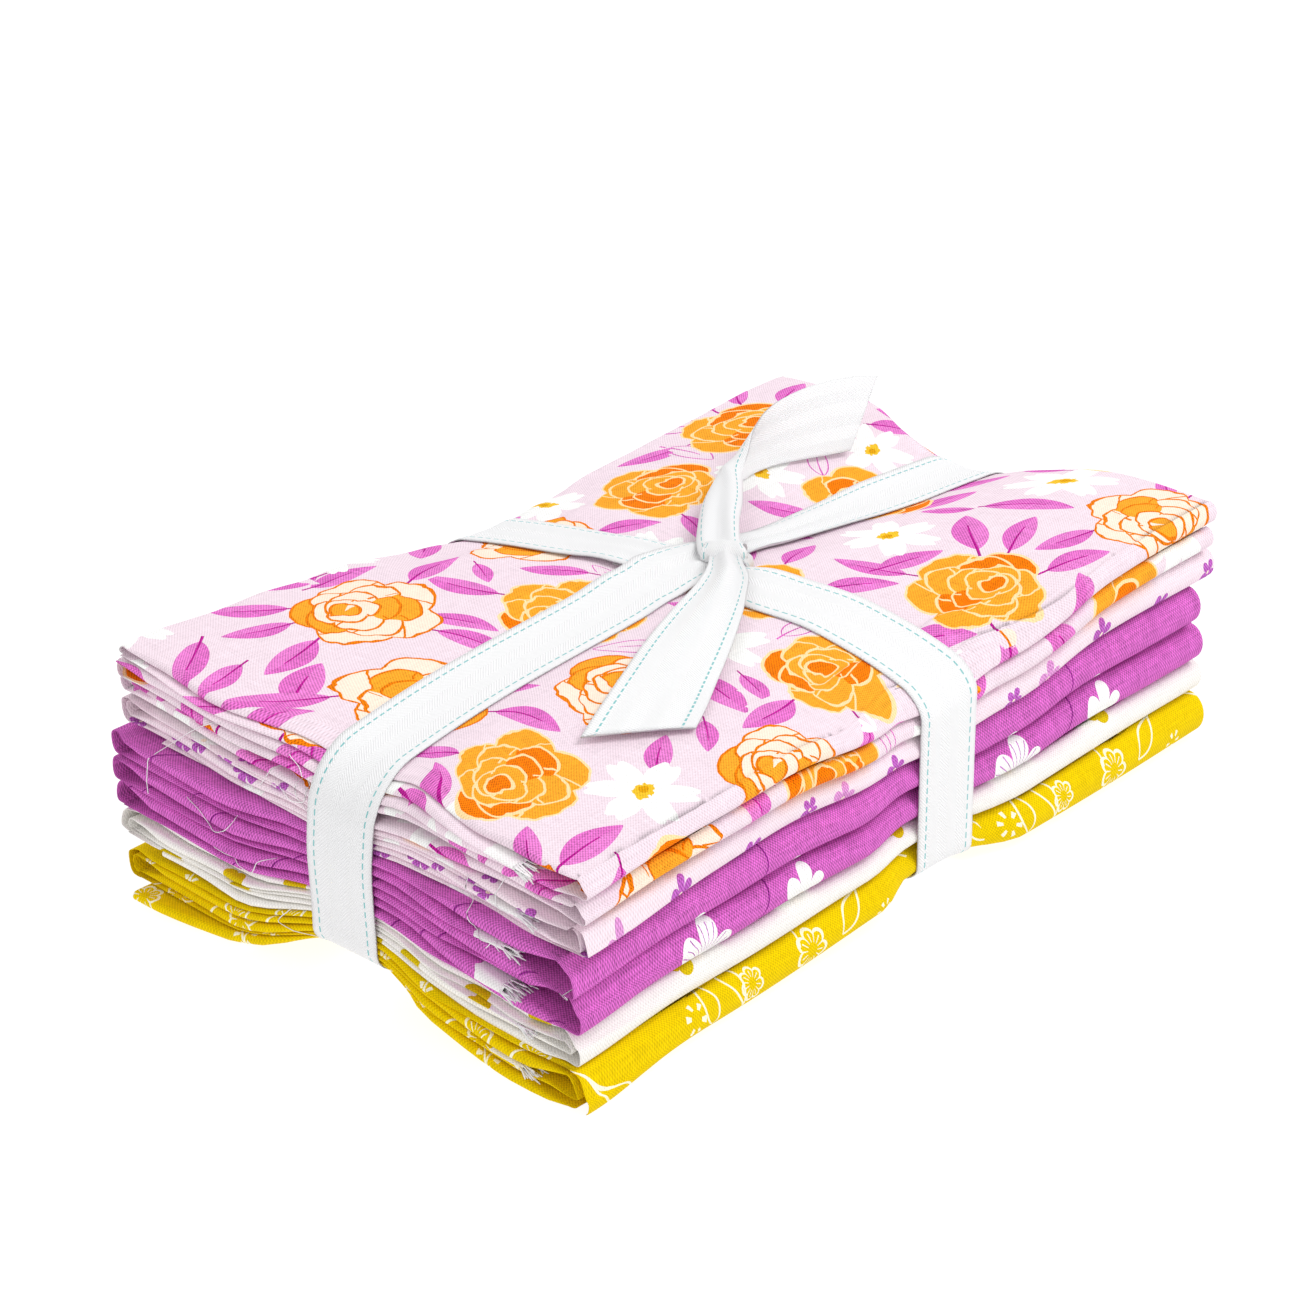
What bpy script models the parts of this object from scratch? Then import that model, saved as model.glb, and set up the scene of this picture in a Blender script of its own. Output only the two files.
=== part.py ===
# Bundle of five folded cuts of printed quilting cotton, tied both ways with twill tape.
# Metres, +Z up. X runs along the long side, Y along the short side, and the origin is the
# middle of the footprint, on the surface that the bundle lies on.

import math

import bmesh
import bpy
from mathutils import Matrix, Vector

MM = 0.001

# Driving dimensions in millimetres
HALF_LONG = 140.0        # cloth 1120 wide, doubled twice, gives a long side of 280
HALF_SHORT = 85.0        # the 914 length of each cut is folded in runs of about 170
CUT_GAP = 0.7            # between one cut and the next
TAPE_WIDTH = 24.5
TAPE_THICK = 1.0
TAPE_GAP = 0.5           # between the tape and what it wraps
CORNER_HEIGHT = {"front_left": 66.0, "back_left": 72.0, "front_right": 78.0, "back_right": 68.5}
CROWN = 2.0              # how far the top face swells between its edges

# Orders in which the layers of a cut are laid, from its first free edge to its last
ROLL = {"first_side": "back", "levels": (0, 4, 1, 3, 2)}
DOUBLE_ROLL = {"first_side": "front", "levels": (1, 0, 2, 3, 5, 4)}

# One row for each cut, bottom first. thick is four plies, rise is from one layer to the next,
# front and back are how far the cut reaches, left and right are where its ends stand at the
# front and at the back, turn is its slope against the stack
CUTS = (
    {"name": "mustard_cut", "fold": ROLL, "thick": 1.8, "rise": 2.6,
     "front": -89.5, "back": 85.0, "left": (-141.0, -142.0), "right": (134.0, 139.5),
     "turn": 0.010, "ragged": 1.0, "phase": 0.4, "colour": (0.69, 0.60, 0.02)},
    {"name": "cream_cut", "fold": ROLL, "thick": 1.3, "rise": 1.85,
     "front": -87.0, "back": 85.5, "left": (-139.5, -141.5), "right": (134.5, 140.5),
     "turn": 0.006, "ragged": 1.2, "phase": 1.9, "colour": (0.90, 0.87, 0.82)},
    {"name": "orchid_cut", "fold": DOUBLE_ROLL, "thick": 2.7, "rise": 3.9,
     "front": -87.0, "back": 87.5, "left": (-140.0, -142.5), "right": (131.5, 140.5),
     "turn": 0.006, "ragged": 1.6, "phase": 0.9, "colour": (0.42, 0.10, 0.46)},
    {"name": "blossom_cut", "fold": ROLL, "thick": 1.4, "rise": 1.9,
     "front": -87.0, "back": 86.0, "left": (-139.0, -140.0), "right": (136.0, 141.0),
     "turn": 0.010, "ragged": 1.2, "phase": 2.7, "colour": (0.88, 0.72, 0.80)},
    {"name": "rose_cut", "fold": DOUBLE_ROLL, "thick": 1.7, "rise": 2.35,
     "front": -88.5, "back": 87.0, "left": (-139.0, -139.5), "right": (134.5, 142.0),
     "turn": 0.012, "ragged": 1.4, "phase": 0.2, "colour": (0.86, 0.64, 0.77)},
)
RAGGED_STEP = 1.7        # turn of the ends' raggedness, radians for each millimetre of height
CLOTH_ROUGHNESS = 0.9
TAPE_COLOUR = (0.90, 0.91, 0.90)
TAPE_ROUGHNESS = 0.8
SHARP_ANGLE = 35.0

# The tape crosses itself here, and its two runs follow these lines over the stack
CROSSING = (11.0, 6.5)
CROSSWISE_X_BY_Y = ((-85.0, 13.0), (-30.0, 12.5), (6.5, 11.0), (40.0, 1.5), (85.0, -4.0))
LENGTHWISE_Y_BY_X = ((-140.0, -2.5), (-85.0, 4.5), (-29.0, 7.0), (11.0, 6.5), (43.0, 3.5),
                     (80.0, 0.0), (140.0, -0.5))

# How the tied tape draws the stack in: amounts at the first edge (front or left) and at the
# last (back or right), share of them in the middle of the stack, power of their growth to the
# edge, and reach before and after the tape, each at the first edge and at the last
LIFT_BY_CROSSWISE = {"first": 5.0, "last": 9.0, "middle": 0.45, "power": 2,
                     "before": (110.0, 66.0), "after": (360.0, 70.0)}
LIFT_BY_LENGTHWISE = {"first": 9.5, "last": 10.0, "middle": 0.40, "power": 2,
                      "before": (62.0, 46.0), "after": (40.0, 46.0)}
DIP_BY_CROSSWISE = {"first": 13.5, "last": 7.0, "middle": 0.22, "power": 3,
                    "before": (78.0, 78.0), "after": (72.0, 110.0)}
DIP_BY_LENGTHWISE = {"first": 7.0, "last": 9.0, "middle": 0.35, "power": 2,
                     "before": (46.0, 46.0), "after": (50.0, 50.0)}
BACK_LEFT_LIFT = 2.5     # that corner stands a little off the surface
DRAWN_SIDE = 83.5        # half depth to which every cut is drawn under the crosswise tape
DRAWN_END = 138.0        # half length to which every cut is drawn under the lengthwise tape
DRAWN_ZONE = (14.0, 56.0)  # drawn fully nearer than the first, not at all past the second
SWERVE_ZONE = (14.0, 46.0)
SIDE_ROUND = 2.5         # rounding of the stack under the tape, at the long sides
END_ROUND = 5.0          # and at the short sides
ROUND_STEPS = (70.0, 45.0, 20.0)   # degrees at which the tape's rounded corners have a station
FACE_STEPS = (0.7, 0.5, 0.3)       # shares of the height at which its upright faces have one
LAP_EDGE = 2.5           # the crosswise tape climbs over the other one in this distance
SHORT_BEND_STEPS = 4     # bend between neighbouring layers
LONG_BEND_STEPS = 6      # bend round other layers

# Stations shared by every cut and by the tape, so that their facets lie on each other
HALF_TAPE = TAPE_WIDTH / 2
X_STATIONS = (-108.0, -74.0, -44.0, -18.0, CROSSING[0] - HALF_TAPE, CROSSING[0],
              CROSSING[0] + HALF_TAPE, 48.0, 80.0, 112.0)
Y_STATIONS = (-66.0, -38.0, CROSSING[1] - HALF_TAPE, CROSSING[1], CROSSING[1] + HALF_TAPE,
              44.0, 66.0)
SIDE_ZONE = (66.0, 76.0)  # a cut's own reach applies only outside this part of its depth


def cut_height(cut):
    return max(cut["fold"]["levels"]) * cut["rise"] + cut["thick"]


STACK = sum(cut_height(cut) for cut in CUTS) + CUT_GAP * (len(CUTS) - 1)


def smooth(t):
    t = min(1.0, max(0.0, t))
    return t * t * (3.0 - 2.0 * t)


def mix(a, b, t):
    return a + (b - a) * t


def bell(distance, before, after):
    # 1 at the tape, falling to 0 at its reach on either side
    t = distance / (after if distance > 0.0 else before)
    if abs(t) >= 1.0:
        return 0.0
    return math.cos(0.5 * math.pi * t) ** 2


def line_value(line, at):
    for (a, value_a), (b, value_b) in zip(line, line[1:]):
        if at <= b:
            return mix(value_a, value_b, max(0.0, (at - a) / (b - a)))
    return line[-1][1]


def beside_tape(distance, zone):
    # 1 under the tape, 0 some way from it
    return 1.0 - smooth((abs(distance) - zone[0]) / (zone[1] - zone[0]))


def pull(row, distance, edge):
    share = mix(row["middle"], 1.0, min(1.0, abs(edge)) ** row["power"])
    t = 0.5 + 0.5 * edge
    amount = mix(row["first"], row["last"], t)
    return amount * share * bell(distance, mix(*row["before"], t), mix(*row["after"], t))


def both_pulls(crosswise, lengthwise, u, v):
    a = pull(crosswise, u - CROSSING[0], v / HALF_SHORT)
    b = pull(lengthwise, v - CROSSING[1], u / HALF_LONG)
    return (a ** 3 + b ** 3) ** (1.0 / 3.0)


def bottom_at(u, v):
    corner = BACK_LEFT_LIFT * smooth((-u - 60.0) / 70.0) * smooth((v - 30.0) / 50.0)
    return max(corner, both_pulls(LIFT_BY_CROSSWISE, LIFT_BY_LENGTHWISE, u, v))


def top_at(u, v):
    s = 0.5 + 0.5 * u / HALF_LONG
    t = 0.5 + 0.5 * v / HALF_SHORT
    front = mix(CORNER_HEIGHT["front_left"], CORNER_HEIGHT["front_right"], s)
    back = mix(CORNER_HEIGHT["back_left"], CORNER_HEIGHT["back_right"], s)
    swell = CROWN * max(0.0, 1.0 - (u / HALF_LONG) ** 10) * max(0.0, 1.0 - (v / HALF_SHORT) ** 4)
    return mix(front, back, t) + swell - both_pulls(DIP_BY_CROSSWISE, DIP_BY_LENGTHWISE, u, v)


def settle(u, v, w):
    # From the square, even stack to the tied one: u and v on plan, w up the stack
    bottom = bottom_at(u, v)
    top = top_at(u, v)
    inside = min(STACK, max(0.0, w))
    z = mix(bottom, top, inside / STACK) + (w - inside)
    swerve_x = line_value(CROSSWISE_X_BY_Y, v) - CROSSING[0]
    swerve_y = line_value(LENGTHWISE_Y_BY_X, u) - CROSSING[1]
    x = u + swerve_x * beside_tape(u - CROSSING[0], SWERVE_ZONE)
    y = v + swerve_y * beside_tape(v - CROSSING[1], SWERVE_ZONE)
    return Vector((x, y, z)) * MM


def rounding(w, radius):
    # How far the face of the stack stands back near its top and bottom edges
    past = max(0.0, abs(w - STACK / 2) - (STACK / 2 - radius))
    return radius - math.sqrt(max(0.0, radius * radius - past * past))


def bend_points(centre_y, low, high, side, upward, steps):
    # Half circle from one layer to another, with the direction of travel at each point
    middle = (low + high) / 2
    radius = (high - low) / 2
    outward = -1.0 if side == "front" else 1.0
    points = []
    for i in range(steps + 1):
        angle = math.pi * (i / steps - 0.5) * (1.0 if upward else -1.0)
        y = centre_y + outward * radius * math.cos(angle)
        z = middle + radius * math.sin(angle)
        turn = 1.0 if upward else -1.0
        points.append((y, z, -outward * math.sin(angle) * turn, math.cos(angle) * turn))
    return points


def fold_path(cut):
    # Middle line of the folded cut across Y and up: y, height, and direction of travel
    levels = cut["fold"]["levels"]
    rise = cut["rise"]
    half = cut["thick"] / 2
    spans = [abs(b - a) for a, b in zip(levels, levels[1:])]
    goes_back = cut["fold"]["first_side"] == "front"
    front_spans = spans[1::2] if goes_back else spans[0::2]
    back_spans = spans[0::2] if goes_back else spans[1::2]
    front_centre = cut["front"] + half + max(front_spans) * rise / 2
    back_centre = cut["back"] - half - max(back_spans) * rise / 2
    path = []
    for i, level in enumerate(levels):
        z = half + level * rise
        heading = 1.0 if goes_back else -1.0
        if i == 0:
            path.append((front_centre if goes_back else back_centre, z, heading, 0.0))
        stations = Y_STATIONS if goes_back else reversed(Y_STATIONS)
        path.extend((y, z, heading, 0.0) for y in stations)
        if i == len(levels) - 1:
            path.append((back_centre if goes_back else front_centre, z, heading, 0.0))
        else:
            upward = levels[i + 1] > level
            low, high = sorted((level, levels[i + 1]))
            side = "back" if goes_back else "front"
            centre = back_centre if goes_back else front_centre
            steps = SHORT_BEND_STEPS if high - low == 1 else LONG_BEND_STEPS
            low_z = half + low * rise
            high_z = half + high * rise
            path.extend(bend_points(centre, low_z, high_z, side, upward, steps))
        goes_back = not goes_back
    return path


def outline(cut):
    # Both faces of the cloth beside its middle line, as pairs of (v, height in the cut)
    half = cut["thick"] / 2
    pairs = []
    for y, z, along, up in fold_path(cut):
        pairs.append(((y - up * half, z + along * half), (y + up * half, z - along * half)))
    return pairs


def place_on_cut(cut, base, station, v, height):
    w = base + height
    side = smooth((abs(v) - SIDE_ZONE[0]) / (SIDE_ZONE[1] - SIDE_ZONE[0]))
    if station in ("left", "right"):
        outward = -1.0 if station == "left" else 1.0
        free = mix(*cut[station], 0.5 + 0.5 * v / HALF_SHORT)
        free += cut["ragged"] * math.sin(cut["phase"] + RAGGED_STEP * height)
        drawn = outward * (DRAWN_END - rounding(w, END_ROUND))
        near = beside_tape(v - CROSSING[1], SWERVE_ZONE)
        u = mix(free, drawn, near)
    else:
        u = station
    reach = cut["front"] if v < 0.0 else cut["back"]
    drawn_reach = math.copysign(DRAWN_SIDE, reach)
    near = beside_tape(u - CROSSING[0], DRAWN_ZONE)
    shift = cut["turn"] * u * (1.0 - near) + (drawn_reach - reach) * near
    return settle(u, v + side * shift, w)


def new_material(name, colour, roughness):
    material = bpy.data.materials.new(name)
    material.use_nodes = True
    shader = material.node_tree.nodes["Principled BSDF"]
    shader.inputs["Base Color"].default_value = (*colour, 1.0)
    shader.inputs["Roughness"].default_value = roughness
    shader.inputs["Metallic"].default_value = 0.0
    return material


def add_object(name, bm, material, collection):
    bmesh.ops.recalc_face_normals(bm, faces=bm.faces)
    mesh = bpy.data.meshes.new(name)
    bm.to_mesh(mesh)
    bm.free()
    mesh.materials.append(material)
    mesh.shade_smooth()
    mesh.set_sharp_from_angle(angle=math.radians(SHARP_ANGLE))
    thing = bpy.data.objects.new(name, mesh)
    collection.objects.link(thing)


def loft(bm, rings, closed):
    # Triangles between successive rings of vertices, which are closed loops themselves. Every
    # diagonal runs towards both +X and +Y, so that facets of neighbouring layers stay parallel
    count = len(rings)
    for i in range(count if closed else count - 1):
        ring = rings[i]
        following = rings[(i + 1) % count]
        for j in range(len(ring)):
            k = (j + 1) % len(ring)
            a, b, c, d = ring[j], ring[k], following[k], following[j]
            rising = (c.co.x - a.co.x) * (c.co.y - a.co.y)
            falling = (d.co.x - b.co.x) * (d.co.y - b.co.y)
            if rising >= falling:
                bm.faces.new((a, b, c))
                bm.faces.new((a, c, d))
            else:
                bm.faces.new((a, b, d))
                bm.faces.new((b, c, d))


def add_cut(cut, base, collection):
    pairs = outline(cut)
    loop = [a for a, b in pairs] + [b for a, b in reversed(pairs)]
    bm = bmesh.new()
    rings = []
    for station in ("left", *X_STATIONS, "right"):
        rings.append([bm.verts.new(place_on_cut(cut, base, station, v, z)) for v, z in loop])
    loft(bm, rings, closed=False)
    last = len(loop) - 1
    for ring in (rings[0], rings[-1]):
        for i in range(len(pairs) - 1):
            bm.faces.new((ring[i], ring[i + 1], ring[last - i - 1], ring[last - i]))
    material = new_material(cut["name"], cut["colour"], CLOTH_ROUGHNESS)
    add_object(cut["name"], bm, material, collection)


def stack_outline(stations, half_size, radius):
    # Outline of the stack under the tape, once round: top, far side, bottom, near side,
    # each point with its outward normal
    arcs = [math.radians(a) for a in ROUND_STEPS]
    points = [(s, STACK, 0.0, 1.0) for s in stations]
    for sign, order in ((1.0, 1), (-1.0, -1)):
        side = [(half_size - radius + radius * math.cos(a), STACK - radius + radius * math.sin(a),
                 math.cos(a), math.sin(a)) for a in arcs]
        side += [(half_size, STACK * share, 1.0, 0.0) for share in FACE_STEPS]
        side += [(half_size - radius + radius * math.cos(a), radius - radius * math.sin(a),
                  math.cos(a), -math.sin(a)) for a in reversed(arcs)]
        points += [(s * sign, w, ns * sign, nw) for s, w, ns, nw in side[::order]]
        if order == 1:
            points += [(s, 0.0, 0.0, -1.0) for s in reversed(stations)]
    return points


def add_band(name, stations, half_size, radius, crosswise, collection):
    material = new_material(name, TAPE_COLOUR, TAPE_ROUGHNESS)
    home = CROSSING[0] if crosswise else CROSSING[1]
    over = CROSSING[1] if crosswise else CROSSING[0]
    bm = bmesh.new()
    rings = []
    for s, w, ns, nw in stack_outline(stations, half_size, radius):
        over_other = crosswise and ns == 0.0 and abs(s - over) < HALF_TAPE + 1.1 * LAP_EDGE
        near = 2 * TAPE_GAP + TAPE_THICK if over_other else TAPE_GAP
        far = near + TAPE_THICK
        ring = []
        across = (-HALF_TAPE, 0.0, HALF_TAPE)
        for offset, line in ((near, across), (far, across[::-1])):
            for c in line:
                a = s + ns * offset
                b = w + nw * offset
                where = settle(home + c, a, b) if crosswise else settle(a, home + c, b)
                ring.append(bm.verts.new(where))
        rings.append(ring)
    loft(bm, rings, closed=True)
    add_object(name, bm, material, collection)


# Free ends of the tape: x, y, height over the cloth's top face or over the ground, width, and
# the direction of the tape's width. Each tail is cut at an angle, one edge longer by its slant
FRONT_TAIL = (
    {"at": (7.3, -6.2), "over": 5.2, "width": 10.0, "across": (0.52, -0.85, 0.0)},
    {"at": (-5.0, -14.0), "over": 4.6, "width": 17.0, "across": (0.52, -0.85, 0.0)},
    {"at": (-24.0, -23.5), "over": 3.4, "width": 22.5, "across": (0.52, -0.85, -0.02)},
    {"at": (-48.0, -35.5), "over": 2.2, "width": 24.5, "across": (0.52, -0.85, -0.02)},
    {"at": (-73.0, -48.5), "over": 2.4, "width": 24.5, "across": (0.52, -0.85, 0.0)},
)
BACK_TAIL = (
    {"at": (24.0, 11.0), "height": 75.0, "width": 9.0, "across": (0.74, -0.66, 0.10)},
    {"at": (40.0, 23.5), "height": 78.0, "width": 13.0, "across": (0.35, -0.75, 0.55)},
    {"at": (53.0, 33.0), "height": 80.3, "width": 17.0, "across": (-0.20, -0.70, 0.70)},
    {"at": (66.0, 38.5), "height": 82.0, "width": 18.0, "across": (-0.62, -0.45, 0.62)},
    {"at": (80.0, 40.0), "height": 83.0, "width": 21.0, "across": (-0.20, 0.15, 0.95)},
    {"at": (98.0, 37.5), "height": 83.2, "width": 24.5, "across": (0.14, 0.40, 0.90)},
    {"at": (116.0, 31.0), "height": 82.0, "width": 24.5, "across": (0.20, 0.42, 0.88)},
)
FRONT_SLANT = -11.0
BACK_SLANT = 8.0


def add_tail(name, rows, slant, collection):
    middle = []
    for row in rows:
        x, y = row["at"]
        z = row["height"] if "height" in row else top_at(x, y) + row["over"]
        middle.append(Vector((x, y, z)))
    bm = bmesh.new()
    rings = []
    for i, row in enumerate(rows):
        before = middle[max(0, i - 1)]
        after = middle[min(len(rows) - 1, i + 1)]
        along = (after - before).normalized()
        across = Vector(row["across"])
        across = (across - along * across.dot(along)).normalized()
        face = along.cross(across)
        ring = []
        for c, f in ((-0.5, -0.5), (0.5, -0.5), (0.5, 0.5), (-0.5, 0.5)):
            corner = middle[i] + across * (c * row["width"]) + face * (f * TAPE_THICK)
            if i == len(rows) - 1:
                corner += along * (c * slant)
            ring.append(bm.verts.new(corner * MM))
        rings.append(ring)
    loft(bm, rings, closed=False)
    bm.faces.new(rings[0])
    bm.faces.new(rings[-1])
    add_object(name, bm, new_material(name, TAPE_COLOUR, TAPE_ROUGHNESS), collection)


KNOT_PLACE = (13.5, 3.0)
KNOT_SIZE = (14.0, 12.5, 5.6)
KNOT_TURNS = 3           # pairs of soft ridges where the tape goes round the knot
KNOT_RIDGE = 0.06        # their height, as a share of its radius
KNOT_SPREAD = 0.10       # how much fuller than a ball it is at its middle
KNOT_SEGMENTS = 16
KNOT_RINGS = 10


def add_knot(name, collection):
    bm = bmesh.new()
    bmesh.ops.create_uvsphere(bm, u_segments=KNOT_SEGMENTS, v_segments=KNOT_RINGS, radius=1.0)
    laps = 2 * (TAPE_GAP + TAPE_THICK) + TAPE_GAP
    centre = Vector((*KNOT_PLACE, top_at(*KNOT_PLACE) + laps + KNOT_SIZE[2] / 2))
    for vert in bm.verts:
        around = math.atan2(vert.co.y, vert.co.x)
        ridge = 1.0 + KNOT_RIDGE * math.cos(KNOT_TURNS * 2.0 * around)
        spread = ridge * (1.0 + KNOT_SPREAD * (1.0 - vert.co.z ** 2))
        x = vert.co.x * spread * KNOT_SIZE[0] / 2
        y = vert.co.y * spread * KNOT_SIZE[1] / 2
        z = vert.co.z * KNOT_SIZE[2] / 2
        vert.co = (centre + Vector((x, y, z))) * MM
    add_object(name, bm, new_material(name, TAPE_COLOUR, TAPE_ROUGHNESS), collection)


def centre_on_origin(things):
    xs = [vert.co.x for thing in things for vert in thing.data.vertices]
    ys = [vert.co.y for thing in things for vert in thing.data.vertices]
    middle = Vector(((min(xs) + max(xs)) / 2, (min(ys) + max(ys)) / 2, 0.0))
    for thing in things:
        thing.data.transform(Matrix.Translation(-middle))


def main():
    for thing in list(bpy.data.objects):
        bpy.data.objects.remove(thing, do_unlink=True)
    collection = bpy.data.collections.new("fabric_bundle")
    bpy.context.scene.collection.children.link(collection)
    base = 0.0
    for cut in CUTS:
        add_cut(cut, base, collection)
        base += cut_height(cut) + CUT_GAP
    add_band("tape_lengthwise", X_STATIONS, DRAWN_END, END_ROUND, False, collection)
    lap_edges = (CROSSING[1] - HALF_TAPE - LAP_EDGE, CROSSING[1] + HALF_TAPE + LAP_EDGE)
    band_stations = sorted(Y_STATIONS + lap_edges)
    add_band("tape_crosswise", band_stations, DRAWN_SIDE, SIDE_ROUND, True, collection)
    add_knot("tape_knot", collection)
    add_tail("tape_tail_front", FRONT_TAIL, FRONT_SLANT, collection)
    add_tail("tape_tail_back", BACK_TAIL, BACK_SLANT, collection)
    centre_on_origin(collection.objects)


main()
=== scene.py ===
# Looks of the tied bundle: five folded cuts of printed quilting cotton and twill tape.
# The cloth is laid ply by ply in the real fold: each cut is doubled twice across its width
# and then folded back and forth. Everything is worked out in millimetres on a square, even
# stack and then settled to the tied one, as the solids are.

import functools
import math

import bpy
import numpy as np
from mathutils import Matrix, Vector
from mathutils.bvhtree import BVHTree


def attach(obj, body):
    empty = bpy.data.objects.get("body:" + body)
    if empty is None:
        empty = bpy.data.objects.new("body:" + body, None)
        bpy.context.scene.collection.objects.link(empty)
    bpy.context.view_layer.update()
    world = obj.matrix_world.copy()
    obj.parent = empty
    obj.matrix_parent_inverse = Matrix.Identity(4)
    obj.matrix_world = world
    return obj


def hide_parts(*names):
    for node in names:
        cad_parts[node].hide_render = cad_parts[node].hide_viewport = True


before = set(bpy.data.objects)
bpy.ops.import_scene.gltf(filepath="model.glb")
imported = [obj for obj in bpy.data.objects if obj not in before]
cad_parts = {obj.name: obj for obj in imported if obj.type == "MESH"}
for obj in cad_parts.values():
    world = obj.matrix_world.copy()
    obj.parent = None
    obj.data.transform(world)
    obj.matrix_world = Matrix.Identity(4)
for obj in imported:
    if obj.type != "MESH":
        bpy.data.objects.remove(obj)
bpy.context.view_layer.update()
# nothing stays selected, because edit mode is used further on
for thing in bpy.context.selected_objects:
    thing.select_set(False)

mm = 0.001

# the stack

stack = {
    "halfLong": 140.0,
    "halfShort": 85.0,
    "cutGap": 0.7,
    "middle": (-0.32, -1.10),            # of the solids' footprint, which is the origin
    "cornerHeights": (66.0, 78.0, 72.0, 68.5),  # front left, front right, back left, back right
    "backLeftLift": 1.6,
    "frontRightLift": 1.2,
    "crown": 2.0,
    "backEdge": ((-140.0, -128.0, -118.0, -105.0, -88.0, -71.0, -50.0, -20.0, 20.0, 38.0, 68.0,
                  100.0, 123.0, 140.0),
                 (3.0, 3.4, 2.4, 1.2, 1.0, -0.8, 0.8, 0.5, 0.0, -1.8, -2.2, -1.6, 0.2, 0.5)),
    "drawnSide": 83.5,
    "drawnEnd": 138.0,
    "drawnZone": (13.0, 32.0, 56.0),     # beside the tape: from, to at the bottom, to at the top
    "endZone": (12.0, 32.0, 54.0),
    "sideRound": (5.0, 7.0),             # under the tape at the bottom and at the top
    "endRound": (8.0, 15.0),
    "sideZone": (60.0, 76.0),
}
tapeLines = {
    "crossing": (7.5, 8.0),
    "crosswise": ((-85.0, 13.0), (-57.0, 12.4), (-40.0, 12.3), (-24.0, 9.8), (-8.0, 7.9),
                  (8.0, 7.2), (18.0, 5.0), (32.0, 1.8), (51.0, -0.8), (69.0, -3.0), (85.0, -5.0)),
    "lengthwise": ((-140.0, -2.5), (-112.0, 2.0), (-85.0, 4.5), (-52.0, 5.8), (-29.0, 7.0),
                   (-8.0, 8.2), (7.5, 8.2), (22.0, 6.2), (43.0, 3.4), (63.0, 1.5), (80.0, 0.2),
                   (110.0, -0.5), (140.0, -0.5)),
}
pulls = {
    # amounts at the first edge (front or left) and the last, share in the middle of the stack,
    # power of the growth to the edges, reach before and after the tape at either edge
    "liftCrosswise": (5.0, 9.0, 0.45, 2, (100.0, 66.0), (28.0, 70.0)),
    "liftLengthwise": (9.5, 10.0, 0.40, 2, (66.0, 46.0), (44.0, 46.0)),
    "dipCrosswise": (13.5, 7.0, 0.22, 3, (78.0, 78.0), (72.0, 110.0)),
    "dipLengthwise": (7.0, 9.0, 0.35, 2, (46.0, 46.0), (50.0, 50.0)),
}
roll = ("back", (0, 4, 1, 3, 2))
doubleRoll = ("front", (1, 0, 2, 3, 5, 4))
# each cut's edges on the even stack, how much cloth its free ends lack, how uneven its plies are
cuts = [
    {"name": "mustard_cut", "fold": roll, "thick": 1.8, "rise": 2.6, "front": -89.5, "back": 85.0,
     "left": (-141.0, -142.0), "right": (134.0, 139.5), "turn": 0.010, "seed": 11,
     "freeStart": 4.0, "freeStop": 14.0, "topStep": 6.0, "plyStep": 5.0,
     "uneven": 0.5, "rawOut": 1.0, "backOut": 5.0},
    {"name": "cream_cut", "fold": roll, "thick": 1.3, "rise": 1.85, "front": -87.0, "back": 85.5,
     "left": (-139.5, -141.5), "right": (134.5, 140.5), "turn": 0.006, "seed": 12,
     "freeStart": 14.0, "freeStop": 14.0, "topStep": 6.0, "plyStep": 5.0,
     "uneven": 1.2, "rawOut": 1.2, "backOut": 0.0},
    {"name": "orchid_cut", "fold": doubleRoll, "thick": 2.7, "rise": 3.9, "front": -87.0,
     "back": 87.5, "left": (-140.0, -142.5), "right": (131.5, 140.5), "turn": 0.006, "seed": 13,
     "freeStart": 17.0, "freeStop": 17.0, "topStep": 6.0, "plyStep": 5.0,
     "uneven": 1.2, "rawOut": 2.4, "backOut": 0.0},
    {"name": "blossom_cut", "fold": roll, "thick": 1.4, "rise": 1.9, "front": -87.0, "back": 86.0,
     "left": (-139.0, -140.0), "right": (136.0, 141.0), "turn": 0.010, "seed": 14,
     "freeStart": 14.0, "freeStop": 14.0, "topStep": 6.0, "plyStep": 5.0,
     "uneven": 1.1, "rawOut": 1.6, "backOut": 0.0},
    {"name": "rose_cut", "fold": doubleRoll, "thick": 1.7, "rise": 2.35, "front": -88.5,
     "back": 87.0, "left": (-139.0, -139.5), "right": (134.5, 142.0), "turn": 0.012, "seed": 15,
     "freeStart": 120.0, "freeStop": 17.0, "topStep": 2.6, "plyStep": 2.9,
     "uneven": 1.1, "rawOut": 2.0, "backOut": 0.0},
]
folds = {
    "quarter": 279.0,                    # the cloth's width, doubled twice
    "step": 6.0,                         # of the grid along each layer
    "ply": 0.3,                          # kept clear of the cut's thickness
    "squeezeReach": 12.0,                # from a bend, where the layers are pressed together
    "lip": 0.40,                         # the folds at the left end are fuller than the plies
    "crowding": (0.45, 0.80),            # of the plies to the outside of a bend
    "sagReach": 50.0,                    # from the left end, where the front bends hang to a point
    "sag": (0.8, 0.25),
    "loose": 0.80,                       # how far the layers open and close at the left end
}
for cut in cuts:
    cut["height"] = max(cut["fold"][1]) * cut["rise"] + cut["thick"]
stackHeight = sum(cut["height"] for cut in cuts) + stack["cutGap"] * (len(cuts) - 1)


def smooth(t):
    t = np.clip(t, 0.0, 1.0)
    return t * t * (3.0 - 2.0 * t)


def mix(a, b, t):
    return a + (b - a) * t


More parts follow.
